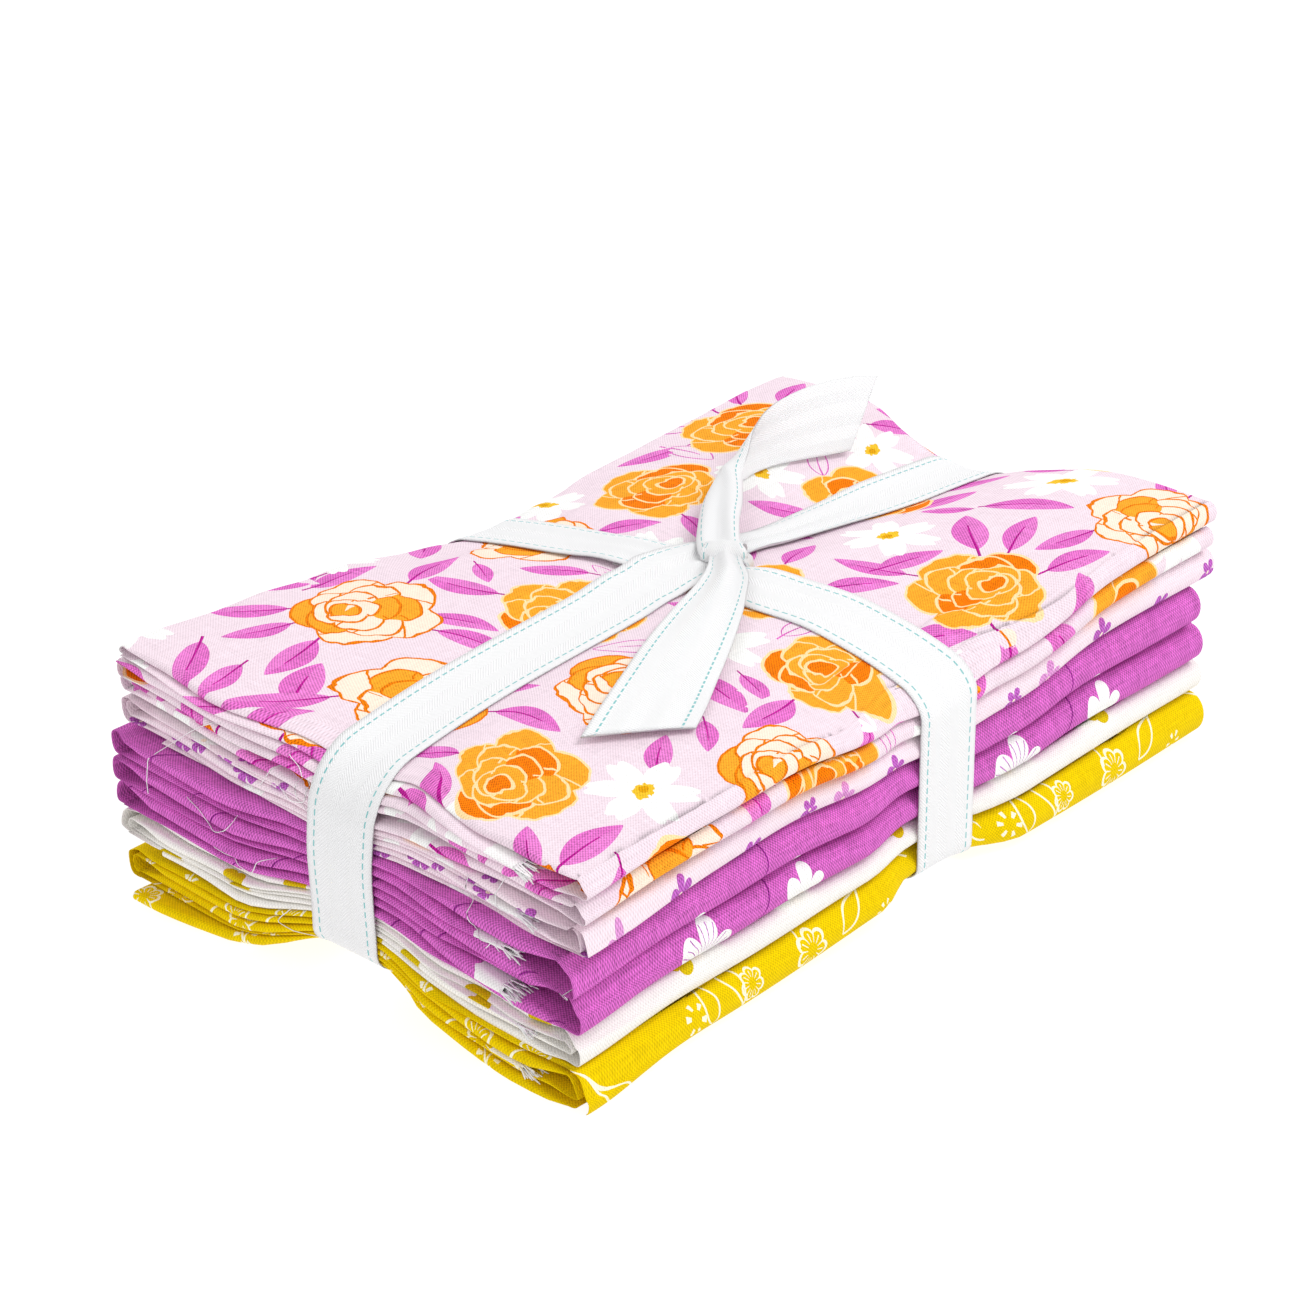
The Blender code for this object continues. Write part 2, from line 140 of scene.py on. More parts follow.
def throughPoints(rows, steps):
    # smooth curve through rows of values, steps to a gap
    rows = np.array(rows, float)
    padded = np.concatenate([[2 * rows[0] - rows[1]], rows, [2 * rows[-1] - rows[-2]]])
    out = []
    for i in range(1, len(padded) - 2):
        p0, p1, p2, p3 = padded[i - 1:i + 3]
        for k in range(steps):
            t = k / steps
            out.append(0.5 * (2 * p1 + (p2 - p0) * t + (2 * p0 - 5 * p1 + 4 * p2 - p3) * t * t
                              + (3 * p1 - p0 - 3 * p2 + p3) * t ** 3))
    return np.array(out + [rows[-1]])


for line in ("crosswise", "lengthwise"):
    tapeLines[line] = throughPoints(tapeLines[line], 8)


def lineAt(line, at):
    # how far to the side the tape's middle runs there
    return np.interp(at, tapeLines[line][:, 0], tapeLines[line][:, 1])


def bell(distance, before, after):
    t = np.clip(distance / np.where(distance > 0.0, after, before), -1.0, 1.0)
    return np.cos(0.5 * np.pi * t) ** 2


def ramp(distance, before, after):
    # flat under the tape, then falling evenly
    reach = np.where(distance > 0.0, after, before)
    t = np.clip((np.abs(distance) - 10.0) / (reach - 10.0), 0.0, 1.0)
    return (1.0 - t) ** 1.4


def pull(row, distance, edge, shape):
    first, last, middle, power, before, after = row
    t = 0.5 + 0.5 * np.clip(edge, -1.0, 1.0)
    share = mix(middle, 1.0, np.minimum(1.0, np.abs(edge)) ** power)
    return mix(first, last, t) * share * shape(distance, mix(*before, t), mix(*after, t))


def bothPulls(crosswise, lengthwise, u, v, shape):
    a = pull(pulls[crosswise], u - lineAt("crosswise", v), v / stack["halfShort"], bell)
    b = pull(pulls[lengthwise], v - lineAt("lengthwise", u), u / stack["halfLong"], shape)
    return np.cbrt(np.maximum(0.0, a) ** 3 + np.maximum(0.0, b) ** 3)


def nearTape(distance, w, zone):
    start, low, high = zone
    stop = mix(low, high, np.clip(w / stackHeight, 0.0, 1.0))
    return 1.0 - smooth((np.abs(distance) - start) / (stop - start))


def waves(u, v, seed, amount, shortest, longest, count=7):
    # soft irregular undulation, the same on every run
    rng = np.random.default_rng(seed)
    total = 0.0
    for _ in range(count):
        length = rng.uniform(shortest, longest)
        way = rng.uniform(0.0, 2.0 * np.pi)
        phase = rng.uniform(0.0, 2.0 * np.pi)
        total = total + np.sin((u * np.cos(way) + v * np.sin(way)) * 2.0 * np.pi / length + phase)
    return total * amount / math.sqrt(count)


def puff(u, v):
    # cloth swells beside the tape and sinks under it
    total = waves(u, v, 5, 0.30, 55.0, 110.0)
    for d in (np.abs(u - lineAt("crosswise", v)), np.abs(v - lineAt("lengthwise", u))):
        total = total + 0.8 * np.exp(-((d - 21.0) / 8.0) ** 2) - 0.5 * np.exp(-(d / 12.0) ** 2)
    return total


def topAt(u, v):
    s = 0.5 + 0.5 * u / stack["halfLong"]
    t = 0.5 + 0.5 * v / stack["halfShort"]
    fl, fr, bl, br = stack["cornerHeights"]
    swell = np.maximum(0.0, 1.0 - (u / stack["halfLong"]) ** 10)
    swell = swell * np.maximum(0.0, 1.0 - (v / stack["halfShort"]) ** 4) * stack["crown"]
    level = mix(mix(fl, fr, s), mix(bl, br, s), t)
    level = level + np.interp(u, *stack["backEdge"]) * smooth((v - 35.0) / 45.0)
    return level + swell + puff(u, v) - bothPulls("dipCrosswise", "dipLengthwise", u, v, bell)


def settle(u, v, w):
    # from the even stack to the tied one, in metres
    u, v, w = np.broadcast_arrays(np.asarray(u, float), v, w)
    corner = stack["backLeftLift"] * smooth((-u - 60.0) / 70.0) * smooth((v - 30.0) / 50.0)
    other = stack["frontRightLift"] * smooth((u - 15.0) / 20.0) * smooth((-v - 30.0) / 30.0)
    corner = np.maximum(corner, other)
    bottom = np.maximum(corner, bothPulls("liftCrosswise", "liftLengthwise", u, v, ramp))
    inside = np.clip(w, 0.0, stackHeight)
    z = mix(bottom, topAt(u, v), inside / stackHeight) + (w - inside)
    return np.stack([u - stack["middle"][0], v - stack["middle"][1], z], axis=-1) * mm


def rounding(w, radii):
    radius = np.where(w < stackHeight / 2, *radii)
    past = np.maximum(0.0, np.abs(w - stackHeight / 2) - (stackHeight / 2 - radius))
    return radius - np.sqrt(np.maximum(0.0, radius * radius - past * past))


# pieces

def addPiece(name, places, faces):
    mesh = bpy.data.meshes.new(name)
    mesh.from_pydata(places, [], faces)
    mesh.shade_smooth()
    piece = bpy.data.objects.new(name, mesh)
    bpy.context.scene.collection.objects.link(piece)
    return piece


def meshFromGrid(name, points, uv, closed=False):
    # points is rows by columns by 3, and uv rows by columns by 2 in millimetres; a closed grid
    # has its last column joined to its first
    rows, columns = points.shape[:2]
    r, c = np.mgrid[:rows - 1, :columns if closed else columns - 1]
    here, beside = r * columns + c, r * columns + (c + 1) % columns
    quads = np.stack([here, beside, beside + columns, here + columns], axis=-1).reshape(-1, 4)
    piece = addPiece(name, points.reshape(-1, 3).tolist(), quads.tolist())
    corners = uv.reshape(-1, 2)[quads.reshape(-1)] * mm
    layer = piece.data.uv_layers.new(name="cloth")
    layer.data.foreach_set("uv", corners.reshape(-1).astype(np.float32))
    return piece


def dress(piece, material, node=None):
    piece.data.materials.append(material)
    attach(piece, "root")
    if node:
        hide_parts(node)


def runningLength(line):
    # the way travelled along a line at each of its points
    return np.concatenate([[0.0], np.cumsum(np.linalg.norm(np.diff(line, axis=0), axis=1))])


def foldLine(cut):
    # middle line of the folded cloth across the stack: v, height, its heading in both, squeeze at
    # the bends, layer and how far a bend can sag
    firstSide, levels = cut["fold"]
    rise, half = cut["rise"], cut["thick"] / 2
    spans = [abs(b - a) for a, b in zip(levels, levels[1:])]
    back = firstSide == "front"
    frontSpans = spans[1::2] if back else spans[0::2]
    backSpans = spans[0::2] if back else spans[1::2]
    frontCentre = cut["front"] + half + max(frontSpans) * rise / 2
    backCentre = cut["back"] - half - max(backSpans) * rise / 2
    line = []
    squeezeBefore = 0.0
    for i, level in enumerate(levels):
        last = i == len(levels) - 1
        start = frontCentre if back else backCentre
        stop = backCentre if back else frontCentre
        heading = 1.0 if back else -1.0
        if i == 0:
            start += heading * cut["freeStart"]
        if last:
            stop -= heading * cut["freeStop"]
        upward = (not last) and levels[i + 1] > level
        squeezeAfter = 0.0 if last else (1.0 if upward != back else -1.0)
        step = cut["topStep"] if level == max(levels) else folds["step"]
        count = max(4, int(round(abs(stop - start) / step)))
        z = half + level * rise
        for k in range(count + last):
            v = mix(start, stop, k / count)
            squeeze = squeezeBefore * max(0.0, 1.0 - abs(v - start) / folds["squeezeReach"])
            squeeze += squeezeAfter * max(0.0, 1.0 - abs(v - stop) / folds["squeezeReach"])
            line.append((v, z, heading, 0.0, squeeze, i, 0.0))
        if not last:
            low, high = sorted((level, levels[i + 1]))
            radius = (high - low) * rise / 2
            middle = half + (low + high) * rise / 2
            outward = 1.0 if back else -1.0
            turn = 1.0 if upward else -1.0
            steps = 10 + 4 * (high - low)
            for k in range(steps + 1):
                angle = math.pi * (k / steps - 0.5) * turn
                line.append((stop + outward * radius * math.cos(angle),
                             middle + radius * math.sin(angle),
                             -outward * math.sin(angle) * turn, math.cos(angle) * turn,
                             squeezeAfter, i + 0.5, radius * math.cos(angle) ** 2))
        squeezeBefore = squeezeAfter
        back = not back
    return np.array(line)


def plyLine(cut):
    # the doubled cloth from selvage to selvage: distance from the left end and place among the
    # four plies, with the thickness of one and the fullness of the folds at the left end
    thin = (cut["thick"] - folds["ply"]) / 3.0
    outer, inner = 1.5 * thin, 0.5 * thin
    lip = cut["rise"] * folds["lip"] / outer
    nearEnd = np.array([0.0, 0.9, 2.0, 3.4, 5.2, 7.4, 10.0])
    longRun = np.arange(13.0, 268.0, cut["plyStep"])
    farEnd = folds["quarter"] - np.array([11.0, 7.5, 4.5, 2.0, 0.0])
    wide = np.concatenate([nearEnd, longRun, farEnd])
    coarse = np.concatenate([nearEnd[::2], np.arange(20.0, 262.0, 13.0), farEnd[::2]])
    rows = []

    def run(distances, ply):
        rows.extend((d, ply) for d in distances)

    def arcAngles(steps):
        return [math.pi * (k / steps - 0.5) for k in range(1, steps)]

    run(wide[::-1], -1.5)
    for a in arcAngles(12):
        rows.append((-1.5 * outer * lip * math.cos(a), outer * math.sin(a) / thin))
    run(wide, 1.5)
    for a in arcAngles(6)[::-1]:
        rows.append((folds["quarter"] + inner * math.cos(a), 1.0 + 0.5 * math.sin(a)))
    run(coarse[::-1], 0.5)
    for a in arcAngles(6):
        rows.append((-inner * math.cos(a), -0.5 * math.sin(a)))
    run(coarse, -0.5)
    return np.array(rows), thin, lip


def placeCut(cut, base):
    path = foldLine(cut)
    plies, thin, lip = plyLine(cut)
    v0, h0, alongV, alongH, squeeze, layer, sag = path.T[:, :, None]
    d, ply = plies.T[:, None, :]
    # at the bends the plies crowd to the outside, most of all at the open left end
    bent = np.abs(squeeze)
    across = ply * thin * mix(1.0, mix(lip, 1.0, bent), smooth(1.0 - d / 8.0))
    tight = bent * mix(*folds["crowding"], smooth(1.4 - d / 22.0))
    d = np.where(d < 0.0, d * mix(1.0, 0.55, bent), d)
    across = across * (1.0 - tight) + tight * 1.5 * thin * np.sign(squeeze)
    v = v0 - alongH * across
    h = h0 + alongV * across
    slack = sag * smooth(1.0 - d / folds["sagReach"]) * (v0 < 0.0)
    h = h - folds["sag"][0] * slack
    v = v - folds["sag"][1] * slack
    w = base + h
    rng = np.random.default_rng(cut["seed"])
    shifts = rng.uniform(-1.0, 1.0, 16)
    layerShift = np.interp(layer, np.arange(16), shifts) * cut["uneven"]
    layerShift = layerShift + waves(v, layer * 40.0, cut["seed"] + 40, 0.7, 30.0, 90.0)
    # the plies with the raw edges stand out a little at the front left corner
    last = max(layer.max(), 1.0)
    raw = (layer == last) | ((layer == 0.0) & (cut["fold"] == doubleRoll))
    rawShift = -cut["rawOut"] * raw * smooth((-v - 15.0) / 40.0)
    rawShift = rawShift - cut["backOut"] * (layer == 0.0) * smooth((v - 20.0) / 50.0)
    t = 0.5 + 0.5 * v / stack["halfShort"]
    ends = []
    for side, sign in (("right", 1.0), ("left", -1.0)):
        away = v - lineAt("lengthwise", sign * stack["halfLong"])
        tied = nearTape(away, w, stack["endZone"])
        free = mix(*cut[side], t) + layerShift + (0.0 if sign > 0.0 else rawShift)
        drawn = sign * (stack["drawnEnd"] - rounding(w, stack["endRound"])) + 0.25 * layerShift
        ends.insert(0, mix(free, drawn, tied))
    left, right = ends
    full = folds["quarter"]
    u = left + (right - left) * np.clip(d, -9.0, full) / full
    u = u + np.where(d > full, d - full, 0.0)
    start, stop = stack["sideZone"]
    side = smooth((np.abs(v) - start) / (stop - start))
    sign = np.where(v < 0.0, -1.0, 1.0)
    reach = np.where(v < 0.0, cut["front"], cut["back"])
    drawnReach = sign * (stack["drawnSide"] - rounding(w, stack["sideRound"]))
    near = nearTape(u - lineAt("crosswise", v), w, stack["drawnZone"])
    wander = waves(u, layer * 0.0 + sign * 50.0, cut["seed"] + 80, 0.5, 60.0, 150.0)
    shift = (cut["turn"] * u + wander) * (1.0 - near) + (drawnReach - reach) * near
    v = v + side * shift
    # the layers open and close a little towards the left end
    loose = smooth((-u - 50.0) / 80.0) * (1.0 - 0.8 * tied)
    drift = waves(v, v * 0.0, cut["seed"] + 9, 1.2, 60.0, 140.0)
    w = w + loose * folds["loose"] * np.sin(w * 0.9 + drift)
    points = settle(u, v, w)
    across = runningLength(plies * (1.0, thin))
    along = runningLength(path[:, :2])
    cloth = np.stack(np.broadcast_arrays(across[None, :], along[:, None]), axis=-1)
    print(cut["name"], "cloth", cloth[-1, -1].round(0), "grid", points.shape[:2])
    cut["clothSize"] = cloth[-1, -1]
    cut["rawEnds"] = (points[0], points[-1])
    return meshFromGrid(cut["name"].replace("_cut", "_cloth"), points, cloth)


# printed motifs

def turned(points, angle):
    c, s = math.cos(-angle), math.sin(-angle)
    return np.stack([points[..., 0] * c - points[..., 1] * s,
                     points[..., 0] * s + points[..., 1] * c], axis=-1)


def layMotifs(piece, name, rows, repeat, longMotif):
    # gives every corner of every face its place in the nearest motif: x, y and the motif's kind.
    # rows hold x, y, turn, size and kind, in millimetres of the flat cloth, repeated all over.
    # a long motif is a leaf or a twig, from its stalk at 0 to its tip at 1
    mesh = piece.data
    count = len(mesh.loops)
    uv = np.zeros(count * 2, np.float32)
    mesh.uv_layers["cloth"].data.foreach_get("uv", uv)
    uv = uv.reshape(-1, 4, 2).astype(float) / mm
    middle = uv.mean(axis=1)
    best = np.full(len(middle), 1e9)
    place = np.zeros((len(middle), 4, 3))
    for x, y, turn, size, kind in rows:
        away = middle - (x, y)
        away -= np.round(away / repeat) * np.array(repeat)
        local = turned(away, turn) / size
        if longMotif:
            gap = np.hypot((local[:, 0] - 0.45) / 0.75, local[:, 1] / 0.30)
        else:
            gap = np.hypot(local[:, 0], local[:, 1])
        nearer = gap < best
        best[nearer] = gap[nearer]
        corners = uv[nearer] - middle[nearer][:, None, :] + away[nearer][:, None, :]
        place[nearer, :, :2] = turned(corners, turn) / size
        place[nearer, :, 2] = kind
    layer = mesh.attributes.new(name, "FLOAT_VECTOR", "CORNER")
    layer.data.foreach_set("vector", place.reshape(-1).astype(np.float32))


class Wire:
    # a socket that takes part in plain sums, each of which becomes a Math node
    def __init__(self, tree, socket):
        self.tree = tree
        self.socket = socket

    def __add__(self, other):
        return calc("ADD", self, other)

    def __sub__(self, other):
        return calc("SUBTRACT", self, other)

    def __rsub__(self, other):
        return calc("SUBTRACT", other, self)

    def __mul__(self, other):
        return calc("MULTIPLY", self, other)

    def __truediv__(self, other):
        return calc("DIVIDE", self, other)


def setInputs(node, spots, values):
    # a wire is linked to its input, and a plain value is set there
    for spot, value in zip(spots, values):
        if isinstance(value, Wire):
            value.tree.links.new(value.socket, node.inputs[spot])
        else:
            node.inputs[spot].default_value = value


def treeOf(values):
    return next(value.tree for value in values if isinstance(value, Wire))


def calc(operation, *values):
    tree = treeOf(values)
    node = tree.nodes.new("ShaderNodeMath")
    node.operation = operation
    setInputs(node, (0, 1, 2), values)
    return Wire(tree, node.outputs[0])


def above(a, b):
    return calc("GREATER_THAN", a, b)


def below(a, b):
    return calc("LESS_THAN", a, b)


def absolute(a):
    return calc("ABSOLUTE", a)


def both(*values):
    return functools.reduce(lambda a, b: a * b, values)


def anyOf(*values):
    return functools.reduce(lambda a, b: calc("MAXIMUM", a, b), values)


def blendColour(share, a, b, how="MIX"):
    tree = treeOf((share, a, b))
    node = tree.nodes.new("ShaderNodeMix")
    node.data_type = "RGBA"
    node.blend_type = how
    setInputs(node, (0, 6, 7), (share, a, b))
    return Wire(tree, node.outputs[2])


def splitVector(source):
    tree = source.id_data
    parts = tree.nodes.new("ShaderNodeSeparateXYZ")
    tree.links.new(source, parts.inputs[0])
    return [Wire(tree, part) for part in parts.outputs]


def motifPlace(tree, name):
    # x, y and the kind of the nearest motif
    node = tree.nodes.new("ShaderNodeAttribute")
    node.attribute_name = name
    return splitVector(node.outputs["Vector"])


def makeVector(x, y, z):
    tree = treeOf((x, y, z))
    node = tree.nodes.new("ShaderNodeCombineXYZ")
    setInputs(node, (0, 1, 2), (x, y, z))
    return Wire(tree, node.outputs[0])


def noise(x, y, z, scale, detail):
    vector = makeVector(x, y, z)
    node = vector.tree.nodes.new("ShaderNodeTexNoise")
    setInputs(node, ("Vector", "Scale", "Detail"), (vector, scale, detail))
    return Wire(vector.tree, node.outputs["Fac"])


def polar(x, y):
    return calc("SQRT", x * x + y * y), calc("ARCTAN2", y, x)


def scalloped(angle, petals, phase, depth, power):
    # edge of a ring of petals, as a share of its radius
    lobe = calc("POWER", absolute(calc("COSINE", (angle + phase) * (petals / 2.0))), power)
    return lobe * depth + (1.0 - depth)


def linear(hexColour):
    # the sRGB colour of a web colour as linear light
    out = []
    for i in (1, 3, 5):
        c = int(hexColour[i:i + 2], 16) / 255.0
        out.append(c / 12.92 if c <= 0.04045 else ((c + 0.055) / 1.055) ** 2.4)
    return (*out, 1.0)


ink = {name: linear(code) for name, code in (
    ("pinkGround", "#EFDCE6"), ("orange", "#FBA62C"), ("deepOrange", "#F57A02"),
    ("peach", "#FDE9D6"), ("orangeLine", "#EE7C06"), ("paleLine", "#FFDDA6"),
    ("white", "#F8F8F6"), ("gold", "#F3C22E"), ("darkGold", "#DFA008"), ("leaf", "#E47FCB"),
    ("leafDark", "#D862BC"), ("magenta", "#B81F92"), ("blossomGround", "#F4E1EA"),
    ("violet", "#BC62BE"), ("paleViolet", "#DD96D2"), ("orchidGround", "#CE67BD"),
    ("orchidDark", "#8E2A88"), ("creamGround", "#F4F1EC"), ("unprinted", "#F3F1F0"),
    ("mustard", "#D8BC10"), ("mustardGround", "#EAC900"), ("sprig", "#FBF7DC"),
    ("tape", "#F6F6F7"), ("teal", "#6FC3C4"),
)}


rose = {
    # radius, petals, turn and depth of the notches of each ring, from the outside in
    "rings": ((0.97, 5.0, 0.30, 0.20), (0.76, 5.0, 0.95, 0.22), (0.56, 4.0, 0.20, 0.22),
              (0.37, 3.0, 1.10, 0.24), (0.20, 2.0, 0.50, 0.30)),
    "ringShift": (0.045, 0.05),
    "wobble": (0.30, 0.22),
    "line": 0.020,
    "seam": 0.018,
}


def drawRose(colour, x, y, kind):
    # rings of overlapping petals round an off-centre heart; kind 0 orange, 1 peach
    pale = above(kind, 0.5)
    wobble = noise(x, y, kind * 3.0, 2.4, 2.0)
    x = x + (wobble - 0.5) * rose["wobble"][0]
    y = y + (wobble - 0.5) * rose["wobble"][1]
    line = blendColour(pale, ink["paleLine"], ink["orangeLine"])
    lines = None
    for k, (radius, petals, phase, depth) in enumerate(rose["rings"]):
        r, angle = polar(x - rose["ringShift"][0] * k, y + rose["ringShift"][1] * k)
        edge = scalloped(angle, petals, phase + 0.4, depth, 0.8) * radius
        inside = below(r, edge)
        turns = (angle + phase + 0.4) * (petals / (2.0 * math.pi))
        pick = calc("SINE", calc("FLOOR", turns + 0.5) * 12.9 + (7.7 * k + 3.1))
        pick = calc("FRACT", pick * 43.7)            # as good as chance, petal by petal
        warm = blendColour(above(pick, 0.52), ink["orange"], ink["deepOrange"])
        soft = blendColour(above(pick, 0.60), ink["peach"], ink["orange"])
        colour = blendColour(inside, colour, blendColour(pale, warm, soft))
        ring = below(absolute(r - edge), rose["line"])
        swirl = absolute(calc("FRACT", turns) - 0.5 + (r - radius) * 0.9)
        swirl = swirl * r * (2.0 * math.pi / petals)
        seam = both(below(swirl, rose["seam"]), inside, above(r, radius * 0.66))
        if lines is None:
            lines = anyOf(ring, seam)
        else:
            lines = anyOf(both(lines, 1.0 - inside), ring, seam)
    return blendColour(lines, colour, line)


daisy = {
    "petals": 6.0,
    "petalWidth": 0.27,
    "uneven": 0.12,
    "notch": 0.9,
    "heart": 0.20,
}


def drawDaisy(colour, x, y):
    r, angle = polar(x, y)
    shape = noise(x, y, 5.0, 2.0, 1.0)
    turns = daisy["petals"] / (2.0 * math.pi)
    away = absolute(calc("FRACT", angle * turns + 0.1) - 0.5) / turns * r
    wide = calc("SINE", calc("MINIMUM", r, 1.0) * 2.5 + 0.15)
    wide = calc("POWER", wide, 0.7) * daisy["petalWidth"] + (shape - 0.5) * daisy["uneven"]
    notch = below(away, (r - daisy["notch"]) * 0.9)
    petals = both(below(away, wide), below(r, 1.0), 1.0 - notch)
    colour = blendColour(anyOf(petals, below(r, 0.28)), colour, ink["white"])
    ragged = noise(x, y, 2.0, 9.0, 2.0)
    heart, _ = polar(x * 1.15, y * 0.8)
    heart = below(heart, (ragged - 0.5) * 0.22 + daisy["heart"])
    colour = blendColour(heart, colour, ink["gold"])
    spot, _ = polar(x - 0.02, y * 0.7 + 0.03)
    return blendColour(below(spot, ragged * 0.10 + 0.03), colour, ink["darkGold"])


leaf = {
    "width": 0.195,
    "line": 0.013,
    "rib": 0.018,
}


def drawLeaf(colour, x, y, kind):
    # x runs from the stalk at 0 to the tip at 1; kind 0 filled, 1 drawn in outline
    outlined = above(kind, 0.5)
    bend = y - calc("SINE", x * 3.0) * 0.035
    along = calc("MINIMUM", calc("MAXIMUM", x, 0.0), 1.0)
    width = calc("POWER", calc("SINE", calc("POWER", along, 0.85) * math.pi), 0.8) * leaf["width"]
    length = both(above(x, 0.0), below(x, 1.0))
    inside = both(below(absolute(bend), width), length)
    edge = both(below(absolute(absolute(bend) - width), leaf["line"]), length)
    rib = below(absolute(bend), leaf["rib"] - along * 0.014)
    rib = both(rib, above(x, -0.16), below(x, 0.66))
    shade = both(inside, above(bend, 0.0))
    fill = blendColour(shade * 0.55, ink["leaf"], ink["leafDark"])
    fill = blendColour(rib, fill, ink["magenta"])
    filled = both(anyOf(inside, rib), 1.0 - outlined)
    colour = blendColour(filled, colour, fill)
    return blendColour(both(anyOf(edge, rib), outlined), colour, ink["leafDark"])


def openFlower(x, y, petals, depth):
    r, angle = polar(x, y)
    return r, angle, below(r, scalloped(angle, petals, 0.4, depth, 0.55))


def rosePrint(tree):
    colour = ink["pinkGround"]
    for layer in ("leaf", "leaf2", "leaf3"):
        x, y, kind = motifPlace(tree, layer)
        colour = drawLeaf(colour, x, y, kind)
    x, y, _ = motifPlace(tree, "daisy")
    colour = drawDaisy(colour, x, y)
    x, y, kind = motifPlace(tree, "flower")
    return drawRose(colour, x, y, kind)


def blossomPrint(tree):
    x, y, kind = motifPlace(tree, "flower")
    r, _, petals = openFlower(x, y, 5.0, 0.72)
    violet = blendColour(above(kind, 0.5), ink["violet"], ink["paleViolet"])
    tone = blendColour(above(kind, 1.5), violet, ink["white"])
    colour = blendColour(petals, ink["blossomGround"], tone)
    return blendColour(below(r, 0.16), colour, ink["peach"])


def orchidPrint(tree):
    x, y, _ = motifPlace(tree, "leaf")
    bend = absolute(y - calc("SINE", x * 4.0) * 0.10)
    twig = both(below(bend, 0.012), above(x, -0.2), below(x, 1.1))
    colour = blendColour(twig, ink["orchidGround"], ink["orchidDark"])
    x, y, kind = motifPlace(tree, "flower")
    r, angle, petals = openFlower(x, y, 6.0, 0.55)
    veins = below(absolute(calc("FRACT", angle * 3.8) - 0.5), 0.07)
    lined = both(veins, above(r, 0.25), below(r, 0.85), above(kind, 0.5))
    colour = blendColour(petals, colour, ink["white"])
    colour = blendColour(both(petals, lined), colour, ink["violet"])
    return blendColour(below(r, 0.14), colour, ink["peach"])


def creamPrint(tree):
    x, y, _ = motifPlace(tree, "flower")
    _, _, petals = openFlower(x, y, 3.0, 0.35)
    return blendColour(petals, ink["creamGround"], ink["mustard"])


def mustardPrint(tree):
    x, y, _ = motifPlace(tree, "leaf")
    along = calc("MINIMUM", calc("MAXIMUM", x, 0.0), 1.0)
    width = calc("SINE", calc("POWER", along, 1.6) * math.pi) * 0.16
    bend = y - x * x * 0.12
    loop = both(below(absolute(absolute(bend) - width), 0.020), above(x, 0.0), below(x, 1.0))
    stalk = both(below(absolute(bend), 0.018), above(x, -0.45), below(x, 0.02))
    colour = blendColour(anyOf(loop, stalk), ink["mustardGround"], ink["sprig"])
    x, y, kind = motifPlace(tree, "flower")
    r, angle = polar(x, y)
    edge = scalloped(angle, 7.0, 0.2, 0.30, 0.7)
    ring = below(absolute(r - edge), 0.09)
    veins = below(absolute(calc("FRACT", angle * 2.23) - 0.5), 0.10)
    veins = both(veins, below(r, 0.75), above(r, 0.35))
    dots = both(below(calc("FRACT", angle * 0.955), 0.35), below(absolute(r - 0.5), 0.16))
    flower = both(anyOf(ring, veins), below(kind, 0.5))
    return blendColour(anyOf(flower, both(dots, above(kind, 0.5))), colour, ink["sprig"])


def newMaterial(name, finish):
    material = bpy.data.materials.new(name)
    material.use_nodes = True
    tree = material.node_tree
    shader = tree.nodes["Principled BSDF"]
    setInputs(shader, finish.keys(), finish.values())
    return material, tree, shader


def flatPlace(tree):
    # place on the flat cloth in millimetres
    node = tree.nodes.new("ShaderNodeUVMap")
    node.uv_map = "cloth"
    return [way * 1000.0 for way in splitVector(node.outputs[0])[:2]]


def shadeAndRaiseThreads(shader, colour, tone, height, look):
    # the threads' tone, painted shade in the hollows of the weave and painted highlight on its
    # tops, tints the colour, and the threads stand out of the surface
    shaded = blendColour(1.0, colour, makeVector(tone, tone, tone), "MULTIPLY")
    bump = shaded.tree.nodes.new("ShaderNodeBump")
    setInputs(bump, ("Strength", "Distance", "Height"), (look["bump"], look["depth"] * mm, height))
    setInputs(shader, ("Base Color", "Normal"), (shaded, Wire(shaded.tree, bump.outputs[0])))


weave = {
    "pitch": 0.50,
    "depth": 0.14,
    "bump": 0.55,
    "contrast": 0.20,
    "deepColour": 4.4,                      # deep colours get stronger painted shade and highlight in the weave, and stronger slubs
    "checks": 0.60,
    "slubLength": 0.12,
    "slubWidth": 2.1,
    "unprinted": (8.0, 5.0),             # least width of the bare strip at a raw edge, and more
    "finish": {"Roughness": 0.9, "Sheen Weight": 0.015, "Sheen Roughness": 0.6,
               "Specular IOR Level": 0.04},
}


def clothMaterial(name, makePrint, length, bothEnds):
    material, tree, shader = newMaterial(name, weave["finish"])
    colour = makePrint(tree)
    across, along = flatPlace(tree)
    # the raw edges in sight carry no print
    least, more = weave["unprinted"]
    reach = noise(across * 0.3, 0.0, 4.0, 1.0, 2.0) * more + least
    bare = above(along, length - reach)
    if bothEnds:
        bare = anyOf(bare, below(along, reach))
    colour = blendColour(bare, colour, ink["unprinted"])
    turn = math.pi / weave["pitch"]
    checks = calc("SINE", across * turn) * calc("SINE", along * turn)    # over and under
    thin, thick = weave["slubWidth"], weave["slubLength"]
    slubs = noise(across * thick, along * thin, 0.0, 1.0, 2.0)
    slubs = slubs + noise(across * thin, along * thick, 9.0, 1.0, 2.0) - 1.0
    shades = tree.nodes.new("ShaderNodeSeparateColor")
    setInputs(shades, (0,), (colour,))
    deep = 1.0 - Wire(tree, shades.outputs[1])
    strength = (deep * deep * weave["deepColour"] + 1.0) * weave["contrast"]
    # the checks paint shade in the hollows of the over-and-under weave and highlight on its
    # crossings; the slubs vary the tone of uneven threads and are lighter where they stand up, a
    # painted highlight too
    tone = (checks * weave["checks"] + slubs) * strength + 1.0
    shadeAndRaiseThreads(shader, colour, tone, checks * 0.5 + slubs * 1.2, weave)
    return material


